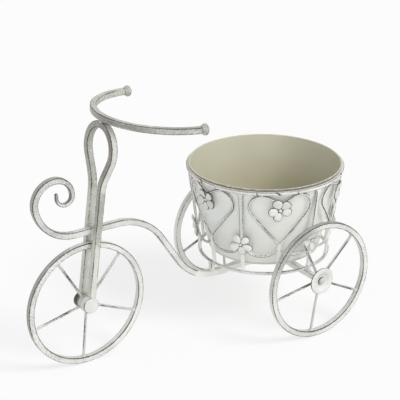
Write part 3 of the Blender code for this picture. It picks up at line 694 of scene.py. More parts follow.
def lathe(bm, profile, centre, axis=ACROSS, steps=48, closed=False, rough=True, uneven=lambda t: 1.0):
    """Turn (radius, height, edge) points round an axis through a centre; uneven scales the edge by angle."""
    layer = bm.verts.layers.float["edge"]
    grid = []
    for t in turns(steps):
        line = []
        for radius, height, value in profile:
            out = Vector((radius * cos(t), radius * sin(t), height))
            point = centre + (out.xzy if axis == ACROSS else out)
            stray = lumpy(point) * (point - centre).normalized() if rough else Vector()
            vert = bm.verts.new(point + stray)
            vert[layer] = uneven(t) * value
            line.append(vert)
        grid.append(line)
    for one, two in zip(grid, grid[1:] + grid[:1]):
        band(bm, one, two, closed)
    ends = [line[0] for line in grid] + [line[-1] for line in grid]
    flat = [vert for vert in ends if (vert.co - centre).cross(axis).length < 0.3 * MM]
    if flat:
        bmesh.ops.remove_doubles(bm, verts=flat, dist=0.35 * MM)
    return bm


def rounded(profile, radius, edge=1.0):
    """Round the inner corners of an open (radius, height) profile; corners get the edge value."""
    points = [Vector(q) for q in profile]
    out = [(*points[0], 0.0)]
    for before, here, after in zip(points, points[1:], points[2:]):
        legs = (before - here, after - here)
        cut = min(radius, *(0.45 * leg.length for leg in legs))
        beside = min(0.7 * MM, *(0.05 * leg.length for leg in legs)) if cut < radius else 0.7 * MM
        a, b = (here + cut * leg.normalized() for leg in legs)
        flats = [[(*(here + (cut + beside) * leg.normalized()), 0.15 * edge)]
                 if cut + beside < 0.5 * leg.length else [] for leg in legs]
        curve = [(1 - t) ** 2 * a + 2 * t * (1 - t) * here + t * t * b for t in (0, 1 / 3, 2 / 3, 1)]
        out += flats[0] + [(*q, edge) for q in curve] + flats[1]
    return out + [(*points[-1], 0.0)]


def blob(bm, place, kind, seed):
    """A lump of weld metal, as an uneven ball."""
    layer = bm.verts.layers.float["edge"]
    for vert in bmesh.ops.create_icosphere(bm, subdivisions=3, radius=1.0)["verts"]:
        unit = vert.co.copy()
        swell = 1 + 0.28 * noise.noise(unit * 1.7 + Vector((seed * 3.1, seed * 1.3, 0)))
        vert.co = place + swell * Vector([part * (half * MM) for part, half in zip(unit, WELDS[kind])])
        vert[layer] = 0.35 + 0.5 * max(0.0, swell - 1) / 0.2
    return bm


def wire(bm, points, outward, diameters, ridges=((0.0, 1.0),), closed=False, count=12, sharp=6, fade=0.0):
    """Round wire along points, rubbed along ridges (angle, strength) that fade towards both ends."""
    length = (points[-1] - points[0]).length
    last = len(points) - 1
    rings = []
    for i, point in enumerate(points):
        before = points[i - 1] if i or closed else point
        after = points[(i + 1) % len(points)] if i < last or closed else point
        ahead = (after - before).normalized()
        out = (outward[i] - outward[i].dot(ahead) * ahead).normalized()
        side = ahead.cross(out)
        radius = diameters[i] / 2
        near = min(length * i / last, length * (last - i) / last)
        share = min(1.0, near / fade) if fade else 1.0
        rings.append([(point + radius * (cos(t) * out + sin(t) * side),
                       share * max(deep * max(0.0, cos(t - ridge)) ** sharp for ridge, deep in ridges))
                      for t in turns(count)])
    return skin(bm, rings, closed)


# Wheels

# How dull each rim is on its tread and on its sides, with painted shade and light: a base, then (amount,
# middle, half width) in degrees. Values below zero lift the paint as painted light; the far rear wheel's row
# lightens it where the pot shades it
RIM_RUB_AND_SHADING = {
    "": ((0.90, (-0.80, 75, 35)), (0.10, (0.38, 180, 105), (-0.60, 322, 32))),
    "_left": ((0.60, (0.35, 75, 22), (-1.10, 208, 38)), (0.28, (0.45, 135, 38))),
    "_right": ((0.20, (-1.00, 200, 55)), (-0.70, (-0.30, 180, 60))),
}
FRONT_SPOKE_WEAR = (0.93, 1.1, 0.92, 1.03, 1.05)
REAR_SPOKE_WEAR = (1.9, 1.2, 1.1, 0.2, 1.3)


def rim(suffix, centre, radius):
    """Rings of a wheel's rim, rolled from square bar."""
    section = bar_section(RIM_BAR, RIM_BAR)
    middle = radius - RIM_BAR / 2
    rings = []
    for t in turns(round(FULL_TURN * radius / STEP)):
        tread, sides = (sum((amount * around(degrees(t), *spot, 360) for amount, *spot in spots), base)
                        for base, *spots in RIM_RUB_AND_SHADING[suffix])
        high = 0.5 + 0.5 * cos(t - radians(50))
        ring = []
        for u, v, e in section:
            line = 0.88 + 0.34 * high if v > 0.3 * RIM_BAR else 1.20 - 0.34 * high
            rub_and_shading = 0.3 if e >= 0.6 else tread if v > 0.42 * RIM_BAR else sides
            ring.append((centre + (middle + v) * wheel_ray(t) + u * ACROSS, (e * line, rub_and_shading)))
        rings.append(ring)
    return rings


def wheel(prefix, suffix, centre, radius, turn, hub, start):
    """Rim, spokes with their hub, and welds at the spokes' outer ends."""
    body = prefix + suffix
    bm = skin(new_mesh(), rim(suffix, centre, radius), closed=True)
    # The far rear wheel's rim takes a lighter copy of the rim paint: painted light where the pot shades it
    put(prefix + "_rim" + suffix, bm, "lit_rim" if suffix == "_right" else "rim", body)
    spokes = lathe(new_mesh(), hub, centre, closed=True)
    welds = new_mesh()
    inner = radius - RIM_BAR
    end = inner + 0.4 * MM
    for k, dark in enumerate(REAR_SPOKE_WEAR if suffix else FRONT_SPOKE_WEAR):
        out = wheel_ray(turn + FULL_TURN * k / SPOKES)
        spots = [start + (end - start) * n / SPOKE_STEPS for n in range(SPOKE_STEPS + 1)]
        nears = [min(spot - start, end - spot) for spot in spots]
        sizes = [SPOKE_DIAMETER + SPOKE_FLARE * exp(-near / (1.4 * MM)) for near in nears]
        wire(spokes, [centre + spot * out for spot in spots], [-ACROSS] * len(spots), sizes,
             ((1.0, dark), (-0.2, 0.62 * dark)), fade=14.0 * MM)
        blob(welds, centre + (inner - 0.1 * MM) * out, "spoke", k + len(suffix) + 1)
    put(prefix + "_spoked_hub" + suffix, spokes, "spoke", body)
    put(prefix + "_welds" + suffix, welds, "weld", body, ())


def hub_profile(radius, low, high, corner):
    return rounded([(bore_radius, low), (radius, low), (radius, high), (bore_radius, high)], corner)


def front_wheel():
    """Front wheel, and the fork's bosses on each side of it."""
    hub_radius = HUB_DIAMETER / 2
    half = leg_inner - SIDE_PLAY
    wheel("front_wheel", "", FRONT_AXLE, FRONT_WHEEL_RADIUS, FRONT_SPOKE_TURN,
          hub_profile(hub_radius, -half, half, 0.8 * MM), hub_radius - SPOKE_IN_HUB)
    boss = BOSS_DIAMETER / 2
    for suffix, side in SIDES:
        near = side < 0
        face = leg_outer + (BOSS_PROUD if near else 0.0)
        profile = rounded([(pin_radius + SEAT, leg_inner), (boss, leg_inner), (boss, face - 0.5 * MM),
                           (boss - 0.5 * MM, face), (0.0, face + 0.3 * MM)], 0.5 * MM, edge=0.85)
        if not near:
            profile = [(r, h, 1.5 if r > boss - 0.1 * MM else 0.6 * e) for r, h, e in profile]
        bm = lathe(new_mesh(), on_side(side, profile), FRONT_AXLE + (BOSS_MOVED if near else Vector()))
        put("fork_boss" + suffix, bm, "boss" if near else "bare")


def on_side(side, profile):
    """A profile drawn for the right side, mirrored for the left one."""
    return [(radius, side * height, value) for radius, height, value in profile]


def hub_disc(back, face):
    """Dished disc with a rolled flange, from its back at the axle out to the flange and in along its face."""
    disc_radius = HUB_DISC_DIAMETER / 2
    crest = disc_radius - HUB_DISC_LIP
    well = PIN_HEAD_DIAMETER / 2 + SIDE_PLAY
    rise = face + HUB_DISC_DISH
    disc = [(bore_radius, back, 0.0), (well + HUB_DISC_SHEET, back, 0.0),
            (crest - 1.5 * MM, back + 0.7 * HUB_DISC_DISH, 0.0),
            (disc_radius - 1.2 * MM, rise - 2.2 * MM, 0.2)]
    for k in range(9):
        t = pi * (k / 8 - 0.5)
        disc.append((disc_radius - 0.6 * MM + 0.6 * MM * cos(t), rise - 1.4 * MM + 0.7 * MM * sin(t),
                     1.0 if 2 < k < 7 else 0.5))
    for k in range(1, 15):
        t = k / 14
        slope = 0.5 - 0.5 * cos(pi * min(1.0, max(0.0, (t - 0.30) / 0.62)))
        level = rise - 0.55 * MM * (1 - min(1.0, t / 0.25)) ** 2 - (rise - face) * slope
        disc.append((disc_radius - 0.8 * MM + (well - disc_radius + 0.8 * MM) * t, level, 0.05))
    return disc + [(well - 0.2 * MM, face, 0.5), (bore_radius, face, 0.9)]


def rear_axle():
    """Axle bar, both rear wheels with their discs and pins, and the saddles under the basket."""
    bar_end = track_half - REAR_HUB_LENGTH / 2 - SIDE_PLAY
    section = bar_section(AXLE_BAR, AXLE_BAR)
    rings = [[(REAR_AXLE + Vector((u, -bar_end + 2 * bar_end * k / AXLE_STEPS, v)), e) for u, v, e in section]
             for k in range(AXLE_STEPS + 1)]
    # The axle bar takes a brighter, cleaner paint: painted light where it lies in the pot's shade
    put("rear_axle_bar", skin(new_mesh(), rings), "clean_and_lit")

    hub_radius = REAR_HUB_DIAMETER / 2
    hub_end = SPOKE_DIAMETER / 2
    back = hub_end + SEAT
    face = back + HUB_DISC_SHEET
    head_radius = PIN_HEAD_DIAMETER / 2
    head = track_half + face + SIDE_PLAY
    pin = [(0.0, bar_end + SEAT, 0.0), (pin_radius, bar_end + SEAT, 0.0),
           (pin_radius, head - 0.1 * MM, 0.0), (head_radius - 0.5 * MM, head, 0.8)]
    for k in range(8):
        t = k / 7 * pi / 2
        height = head + 0.3 * MM + (PIN_HEAD_HEIGHT - 0.3 * MM) * sin(t)
        pin.append((head_radius * cos(t), height, 0.95 if k < 2 else 0.25 + 0.60 * (k % 2)))
    for (suffix, side), turn in zip(SIDES, (LEFT_SPOKE_TURN, RIGHT_SPOKE_TURN)):
        centre = REAR_AXLE + side * track_half * ACROSS
        wheel("rear_wheel", suffix, centre, REAR_WHEEL_RADIUS, turn,
              hub_profile(hub_radius, -side * REAR_HUB_LENGTH / 2, side * hub_end, 0.7 * MM),
              hub_radius - SPOKE_IN_HUB)
        bm = lathe(new_mesh(), on_side(side, hub_disc(back, face)), centre, closed=True, steps=64)
        put("rear_hub_disc" + suffix, bm, "disc", "rear_wheel" + suffix)
        put("rear_axle_pin" + suffix, lathe(new_mesh(), on_side(side, pin), REAR_AXLE, steps=40), "pin")

    bm = new_mesh()
    reach = sqrt(base_ring_radius ** 2 - AXLE_BEHIND_POT ** 2)
    for n, (_, side) in enumerate(SIDES):
        spot = Vector((rear_axle_x, side * reach, (axle_top + base_ring_bottom) / 2))
        blob(bm, spot, "saddle", n + 21)
    put("axle_saddles", bm, "weld", nodes=["axle_saddle_left", "axle_saddle_right"])


# Bars

def fork():
    """One bar bent up from a leg, round the loop and down the other leg, with its welds to the main bar."""
    foot = BOSS_DIAMETER / 2 * cos(radians(45))
    path = BarPath((leg_middle, foot), pi / 2)
    path.run(FORK_FLARE_HEIGHT - foot).bend(FORK_FLARE_RADIUS, -flare_angle).run(FORK_NECK_RUN)
    path.bend(FORK_LOOP_RADIUS, pi + 2 * flare_angle)
    path.run(FORK_NECK_RUN).bend(FORK_FLARE_RADIUS, -flare_angle).run(FORK_FLARE_HEIGHT - foot)

    def wear(share, u, v, e):
        """u faces the rear, and v faces the other leg, or into the loop."""
        near = share > 0.5
        front = u < -0.8
        high = 1 - share if near else share
        loop = ramp(high, 0.25, 0.35 if near else 0.37)
        value = 0.80 * e
        if near and v < 0:
            value = 0.85 * e if u > 0 else (0.75 + 0.35 * around(high, 0.23, 0.07)) * e
        elif near and u < 0:
            value = 1.02 * e
        # Front faces are dulled darker, partly as painted shade, and the near leg is lifted near its foot as
        # painted light
        if near and front:
            leg = 0.15 + 0.60 * ramp(high, 0.12, 0.20)
        elif near:
            leg = 0.78 * ramp(high, 0.10, 0.18) - 0.30 * around(high, 0.0, 0.10)
        else:
            leg = 0.30 * ramp(high, 0.18, 0.28)
        rub_and_shading = 0.80 + 0.42 * around(share, 0.57, 0.13) if front else 0.30 if near else 0.80
        if near and not front:
            rub_and_shading -= 0.50 * around(high, 0.325, 0.035)
        return (value + (1.20 * e - value) * loop, leg + (rub_and_shading - leg) * loop)

    rings = bent_bar(path, ACROSS, FORK_UP, lambda _: FORK_BAR, wear, FRONT_AXLE)
    put("fork", skin(new_mesh(), rings), "fork")
    bm = new_mesh()
    crossing = front_axle_x + (main_bar_height - FRONT_WHEEL_RADIUS) * tan(FORK_LEAN)
    for n, (_, side) in enumerate(SIDES):
        middle = side * (MAIN_BAR / 2 + leg_inner) / 2
        blob(bm, Vector((crossing, 0, main_bar_height)) + middle * ACROSS, "fork", n + 11)
    put("fork_welds", bm, "weld", nodes=["fork_weld_left", "fork_weld_right"])


def handlebar():
    """A bar bent to a C, seated on top of the fork's loop, with a knob on each end."""
    crown = FRONT_AXLE + fork_crown * FORK_UP
    rearward = Vector((cos(HANDLEBAR_TILT), 0, -sin(HANDLEBAR_TILT)))
    upward = Vector((sin(HANDLEBAR_TILT), 0, cos(HANDLEBAR_TILT)))
    wedge = FORK_BAR / 2 * sin(abs(FORK_LEAN - HANDLEBAR_TILT))
    front = crown + (FORK_BAR / 2 + SEAT + wedge + HANDLEBAR_BAR / 2) * upward
    centre = front + HANDLEBAR_RADIUS * rearward
    half_sweep = HANDLEBAR_SWEEP / 2
    ahead = HANDLEBAR_RADIUS * cos(half_sweep)
    spread = HANDLEBAR_RADIUS * sin(half_sweep)
    path = BarPath((-ahead, -spread), pi / 2 + half_sweep)
    path.bend(HANDLEBAR_RADIUS, -HANDLEBAR_SWEEP)

    def wear(share, u, v, e):
        """v faces out of the C."""
        brown = around(share, 0.29, 0.07)
        if v > 0 and e > 0.4:
            return ((1.10 + 0.15 * brown) * e, 0.6)
        if v > 0.8:
            return (0.90 * e, 0.58 + 0.55 * around(share, 0.40, 0.17) + 0.16 * brown)
        return (0.90 * e, 0.75 if share < 0.22 else 0.55)

    rings = bent_bar(path, rearward, ACROSS, lambda _: HANDLEBAR_BAR, wear, centre)
    put("handlebar", skin(new_mesh(), rings), "handlebar")
    bm = blob(new_mesh(), crown + (FORK_BAR / 2 + WELD_SUNK) * FORK_UP, "handlebar", 5)
    put("handlebar_weld", bm, "weld", nodes=())

    neck = KNOB_NECK_DIAMETER / 2
    profile = [(0.0, 0.1 * MM, 0.0), (neck - 0.5 * MM, 0.0, 0.3), (neck - 0.1 * MM, 0.4 * MM, 0.3),
               (neck, 1.0 * MM, 0.2)]
    for k in range(13):
        t = -0.85 + (pi / 2 + 0.85) * k / 12
        rise = 4.7 * MM + (KNOB_LENGTH - 4.7 * MM) * sin(t)
        profile.append((KNOB_DIAMETER / 2 * cos(t), rise, 0.55 if 3 < k < 7 else 0.25))
    for suffix, side in SIDES:
        place = centre - ahead * rearward + side * spread * ACROSS
        out = sin(half_sweep) * rearward + side * cos(half_sweep) * ACROSS
        bm = lathe(new_mesh(), profile, Vector(), axis=UPRIGHT)
        for vert in bm.verts:
            vert[bm.verts.layers.float["rub_and_shading"]] = 0.55
        aim = out.to_track_quat("Z", "Y").to_matrix().to_4x4()
        bmesh.ops.transform(bm, matrix=Matrix.Translation(place + SEAT * out) @ aim, verts=bm.verts)
        put("handlebar_knob" + suffix, bm, "knob")


def main_bar():
    """Bar from under the basket up through the fork, to the scroll with its thinned tip."""
    rise = main_bar_height - flat_height
    bends = LOWER_BEND_RADIUS + UPPER_BEND_RADIUS
    slope_run = (rise - bends * (1 - cos(MAIN_BAR_SLOPE))) / sin(MAIN_BAR_SLOPE)
    tail = rear_axle_x + MAIN_BAR_TAIL
    flat_run = tail - (pot_x - LOWER_BEND_AHEAD)
    reach = bends * sin(MAIN_BAR_SLOPE) + slope_run * cos(MAIN_BAR_SLOPE)
    level_run = (pot_x - LOWER_BEND_AHEAD - reach) - (front_axle_x - SCROLL_AHEAD)
    path = BarPath((-tail, flat_height), 0)
    path.run(flat_run).bend(LOWER_BEND_RADIUS, MAIN_BAR_SLOPE).run(slope_run)
    path.bend(UPPER_BEND_RADIUS, -MAIN_BAR_SLOPE).run(level_run)
    for k, (radius, angle) in enumerate(SCROLL_BENDS):
        if k == SCROLL_OUTER_BENDS:
            taper_from = path.length
        path.bend(radius, angle)
    path.run(SCROLL_TIP_RUN)
    flat_share = flat_run / path.length
    scroll_from = 1 - (sum(r * a for r, a in SCROLL_BENDS) + SCROLL_TIP_RUN) / path.length

    def size(travelled):
        thinned = max(0.0, travelled - taper_from) / (path.length - taper_from)
        return MAIN_BAR + (SCROLL_TIP_BAR - MAIN_BAR) * thinned

    def wear(share, u, v, e):
        """u faces the far side, and v faces up, or into the scroll."""
        # The flat part under the pot is lifted to a brighter white: painted light where it lies in the pot's
        # shade
        if share < flat_share + 0.06:
            return (0.35 * e, -1.0)
        if share < scroll_from:
            return (1.08 * e if v > 0 else 0.85 * e, 0.35 if v > 0.8 and share > 0.40 else 0.12)
        if v < -0.8:
            return (1.10 * e, 0.85 + 0.30 * around(share, 0.73, 0.035))
        if v > 0.8:
            return (1.10 * e, 0.70 + 0.60 * around(share, 0.94, 0.02))
        return (1.10 * e, 0.50 + 0.50 * around(share, 1.0, 0.02))

    rings = bent_bar(path, Vector((-1, 0, 0)), UPRIGHT, size, wear)
    round_ends(rings)
    put("main_bar", skin(new_mesh(), rings), "bar")


def post():
    """Short post from the main bar up to the base ring, flared at its foot by weld metal."""
    middle = pot_x - base_ring_radius
    into_bend = max(0.0, pot_x - LOWER_BEND_AHEAD - middle)
    inner = LOWER_BEND_RADIUS - MAIN_BAR / 2
    foot = flat_height + LOWER_BEND_RADIUS - sqrt(inner ** 2 - into_bend ** 2)
    head = base_ring_bottom
    rings = []
    for k in range(9):
        z = foot + (head - foot) * k / 8
        flare = 3.0 * MM * exp(-(z - foot) / (2.2 * MM)) + 0.6 * MM * exp(-(head - z) / (1.0 * MM))
        section = bar_section(POST_BAR - 2.0 * MM + flare, POST_BAR - 1.0 * MM + 0.3 * flare, 1.2 * MM)
        rings.append([(Vector((middle + 1.0 * MM + u, v, z)), e) for u, v, e in section])
    # The post takes the same brighter, cleaner paint: painted light under the pot
    put("ring_post", skin(new_mesh(), rings), "clean_and_lit")


# Basket and pot

def cone_radius(height):
    return base_ring_radius + basket_taper * (height - strap_bottom)


def on_cone(angle, across, height, outward=0.0):
    """A point of the flat pattern, wrapped on the tapered basket."""
    radius = cone_radius(height)
    turn = angle + across / radius
    return Vector((pot_x + (radius + outward) * cos(turn), (radius + outward) * sin(turn), height))


def cone_out(turn):
    return Vector((cos(turn), sin(turn), -basket_taper)).normalized()


def cone_wire(bm, angle, flat, ridges, closed=False):
    """Wire along a line of the flat pattern."""
    points = [on_cone(angle, u, z) for u, z in flat]
    outward = [cone_out(angle + u / cone_radius(z)) for u, z in flat]
    return wire(bm, points, outward, [WIRE] * len(points), ridges, closed, WIRE_SIDES, sharp=7)


def top_ring():
    """Band of flat bar round the top, with nicks at the hearts' welds."""
    seen = STRAP_TURN + panel_angle * 3.5
    nicks = [(STRAP_TURN + panel_angle * (k + 0.5) + (a - seen) + 0.01 * k * (k - 3),
              deep * (1.0 if k == 3 else 0.7), tilt) for k in range(PANELS) for a, deep, tilt in RING_NICKS]
    angles = turns(RING_STEPS)
    for place, _, _ in nicks:
        angles += [(place + 0.004 * d) % FULL_TURN for d in range(-6, 7)]
    ring_depth = TOP_RING_DEPTH - RIM_LOWERED
    section = bar_section(TOP_RING_WIDTH, ring_depth, 0.7 * MM)
    middle_radius = (top_ring_inner + top_ring_outer) / 2
    middle_height = top_ring_bottom + ring_depth / 2
    rings = []
    for angle in sorted(set(round(a, 5) for a in angles)):
        ring = []
        for u, v, e in section:
            depth = 0.0
            for place, amount, tilt in nicks:
                off = (angle - place + pi) % FULL_TURN - pi + 0.016 * tilt * v / (ring_depth / 2)
                depth = max(depth, amount * max(0.0, 1 - abs(off) / (0.007 + 0.006 * amount)))
            if v > 0.1 * ring_depth and depth < 0.6:
                depth *= 0.2
            sunk = 0.5 * MM * min(depth, 1.0) if u > 0 else 0.0
            crack = 2.4 * depth if u > 0 else 0.0
            # The top face and a line along the middle of the outer face are lifted as painted highlights; the
            # upper outer face is darker
            if v > 0 and u < 0.6 * MM:
                value = (0.30 * e, -0.9)
            elif abs(v) < 0.3 * MM and u > 0:
                value = (crack, -0.6)
            else:
                value = (max(0.80 * e, crack), 0.70 if v > 0.24 * ring_depth else 0.30)
            reach = middle_radius + u - sunk
            ring.append((Vector((pot_x, 0, middle_height + v)) + reach * ring_ray(angle), value))
        rings.append(ring)
    put("basket_top_ring", skin(new_mesh(), rings, closed=True), "band")


def base_ring():
    middle = Vector((pot_x, 0, (base_ring_bottom + base_ring_top) / 2))
    rays = [ring_ray(t) for t in turns(BASE_RING_STEPS)]
    bm = wire(new_mesh(), [middle + base_ring_radius * ray for ray in rays],
              [(ray + Vector((0, 0, 1.2))).normalized() for ray in rays],
              [BASE_RING_WIRE] * len(rays), closed=True, count=16)
    put("basket_base_ring", bm, "wire")


def strap_mesh(bm, angle, top, head_width, worn=1.0):
    """Flat strap up from the base ring, with its top end flared. Its left edge is rubbed high up."""
    rings = []
    bottom = strap_bottom - 0.5 * MM
    steps = round((top - bottom) / (1.6 * MM))
    for k in range(steps + 1):
        z = bottom + (top - bottom) * k / steps
        share = max(0.0, 1 - (top - z) / STRAP_HEAD_HEIGHT)
        width = STRAP_WIDTH + (head_width - STRAP_WIDTH) * share ** 2.2
        section = bar_section(width, STRAP_THICKNESS, 0.8 * MM)
        here, rub_and_shading = (worn * 0.45, -0.7) if z < strap_flower_height else (worn, 0.0)
        rings.append([(on_cone(angle, u, z, v), (here * e * (1.05 if u < 0 and v > 0 else 0.75), rub_and_shading))
                      for u, v, e in section])
    return skin(bm, rings)


def heart_pattern():
    """Right half of the heart in the flat pattern, from the notch round the lobe to the tip."""
    lobe_height = heart_top - HEART_LOBE_RADIUS
    strap_middle = panel_angle / 2 * cone_radius(lobe_height)
    half_width = strap_middle - (STRAP_WIDTH + WIRE) / 2 - HEART_SIDE_GAP
    lobe = Vector((half_width - HEART_LOBE_RADIUS, lobe_height))
    notch = Vector((WIRE / 2 * 0.9, heart_notch))
    tip = Vector((WIRE / 2 * 0.9, heart_tip))

    def touch(point, turn):
        line = point - lobe
        return atan2(line.y, line.x) + turn * acos(HEART_LOBE_RADIUS / line.length)

    start = touch(notch, -1) % FULL_TURN
    end = touch(tip, 1)
    turned = [start + (end - start) * k / 40 for k in range(41)]
    curve = [lobe + HEART_LOBE_RADIUS * Vector((cos(t), sin(t))) for t in turned]
    return ([notch.lerp(curve[0], k / 6) for k in range(6)] + curve
            + [curve[-1].lerp(tip, k / 26) for k in range(1, 27)])


def heart(number, angle):
    half = heart_pattern()
    flat = [(p.x, p.y) for p in half] + [(-p.x, p.y) for p in reversed(half)]
    bm = cone_wire(new_mesh(), angle, flat, ((-0.85, 1.0), (0.95, 0.80)), closed=True)
    put("basket_heart_" + number, bm, "heart")


def scallop(number, angle):
    """Short strap under a heart's tip, with the hanging wire on each side of it."""
    strap_middle = panel_angle / 2 * cone_radius(scallop_top)
    near = STRAP_WIDTH / 2 - 0.4 * MM
    far = strap_middle - STRAP_WIDTH / 2 - SEAT - WIRE / 2 + 0.2 * MM
    bm = strap_mesh(new_mesh(), angle, heart_tip - WIRE / 2 + 0.3 * MM, STRAP_WIDTH, worn=0.3)
    for side in (-1, 1):
        flat = []
        for k in range(41):
            t = pi * k / 40
            across = (near + far) / 2 - (far - near) / 2 * cos(t)
            flat.append((side * across, scallop_top - SCALLOP_DEPTH * sin(t) ** SCALLOP_ROUND_SHARE))
        cone_wire(bm, angle, flat, ((side * 0.45, 1.0), (side * -0.95, 0.7)))
    # Scallop 5 faces the key light and takes a lighter copy of its paint: painted light
    put("basket_scallop_" + number, bm, "lit_wire" if number == "5" else "heart")


def flower(name, angle, height, radius, seed, paint, aside, turn=0.0, broad=0.0):
    """Five puffed petals round a small button, pressed from sheet and cupped by hand."""
    middle = on_cone(angle, aside, height)
    out = cone_out(angle)
    side = Vector((-sin(angle), cos(angle), 0))
    up = out.cross(side)
    back = WIRE / 2 + 0.1 * MM
    start = 0.13 * radius
    chance = random.Random(seed)
    bm = new_mesh()
    layer = bm.verts.layers.float["edge"]
    for k in range(PETALS):
        aim = turn - pi / 2 + FULL_TURN * k / PETALS + chance.uniform(-0.17, 0.17)
        ahead = cos(aim) * side + sin(aim) * up
        beside = out.cross(ahead)
        length = radius * chance.uniform(0.86, 1.0) * (1 + broad * abs(cos(aim)))
        wide = 0.45 * radius * chance.uniform(0.88, 1.08)
        tilt = chance.uniform(-0.10, 0.20)
        twist = chance.uniform(-0.22, 0.22)
        rim_value = 0.95 + 0.42 * cos(aim + 0.4) if broad else 1.25

        def petal_vert(share, t):
            """A vertex at a share of the way from the petal's middle to its rim."""
            along = (start + length) / 2 + (length - start) / 2 * share * cos(t)
            stray = wide * share * sin(t) * (0.80 + 0.20 * cos(t))
            dome = 1.9 * MM * (1 - share ** 2.6)
            crease = 0.45 * MM * exp(-(stray / (0.8 * MM)) ** 2) * (1 - share)
            level = back + 0.6 * MM + dome - crease + tilt * (along - 0.5 * length) + twist * stray
            vert = bm.verts.new(middle + along * ahead + stray * beside + level * out)
            vert[layer] = rim_value if share > 0.95 else 0.50 * share ** 4
            return vert

        angles = turns(PETAL_SIDES)
        top = petal_vert(0.0, 0.0)
        rows = [[petal_vert(ring / PETAL_RINGS, t) for t in angles] for ring in range(1, PETAL_RINGS + 1)]
        under = [bm.verts.new(vert.co - 0.7 * MM * out) for vert in rows[-1]]
        for vert in under:
            vert[layer] = 0.55
        heart_of_petal = sum((v.co for v in under), Vector()) / len(angles)
        rows += [under, [bm.verts.new(heart_of_petal + 0.8 * (v.co - heart_of_petal)) for v in under]]
        for i in range(len(angles)):
            bm.faces.new((top, rows[0][i], rows[0][(i + 1) % len(angles)]))
        for one, two in zip(rows, rows[1:]):
            for i in range(len(angles)):
                j = (i + 1) % len(angles)
                bm.faces.new((one[i], two[i], two[j], one[j]))
        bm.faces.new(list(reversed(rows[-1])))
    for vert in bmesh.ops.create_icosphere(bm, subdivisions=3, radius=1.0)["verts"]:
        q = vert.co.copy()
        vert.co = middle + (back + 0.9 * MM + 1.2 * MM * q.z) * out + 0.12 * radius * (q.x * side + q.y * up)
        vert[layer] = 0.6 if q.z < 0.1 else 0.0
    put(name, bm, paint)


def basket():
    """Rings, and for each panel its strap, heart, scallops, flowers and welds."""
    top_ring()
    base_ring()
    welds = new_mesh()
    for k in range(PANELS):
        number = str(k + 1)
        angle = STRAP_TURN + panel_angle * k
        middle = angle + panel_angle / 2
        bm = strap_mesh(new_mesh(), angle, strap_top + 0.2 * MM, STRAP_HEAD_WIDTH)
        put("basket_strap_" + number, bm, "strap")
        low = FRONT_FLOWER_LOWERED if k == 2 else 0.0
        # Strap flower 5 faces the key light and takes a lighter copy of its paint: painted light
        flower("strap_flower_" + number, angle, strap_flower_height + FLOWER_UP - low, STRAP_FLOWER_RADIUS,
               20 + k, "lit_flower" if k == 4 else "flower", FLOWER_ASIDE, broad=FLOWER_BROADER)
        heart(number, middle)
        flower("heart_flower_" + number, middle, heart_flower_height + HEART_FLOWER_UP,
               HEART_FLOWER_SCALE * HEART_FLOWER_RADIUS, 40 + k, "heart_flower", HEART_FLOWER_ASIDE,
               turn=HEART_FLOWER_TURN)
        scallop(number, middle)
        for u in (-HEART_WELD_ASIDE, HEART_WELD_ASIDE):
            spot = on_cone(middle, u, top_ring_bottom - 0.6 * MM, 0.5 * MM)
            blob(welds, spot, "heart_top", k + u * 900)
        blob(welds, on_cone(middle, 0, heart_tip - WIRE / 2), "heart_tip", k + 31)
        for turn, seed in ((angle, 41), (middle, 51)):
            blob(welds, on_cone(turn, 0, base_ring_top - WELD_SUNK), "strap_foot", k + seed)
    put("basket_welds", welds, "weld", nodes=())


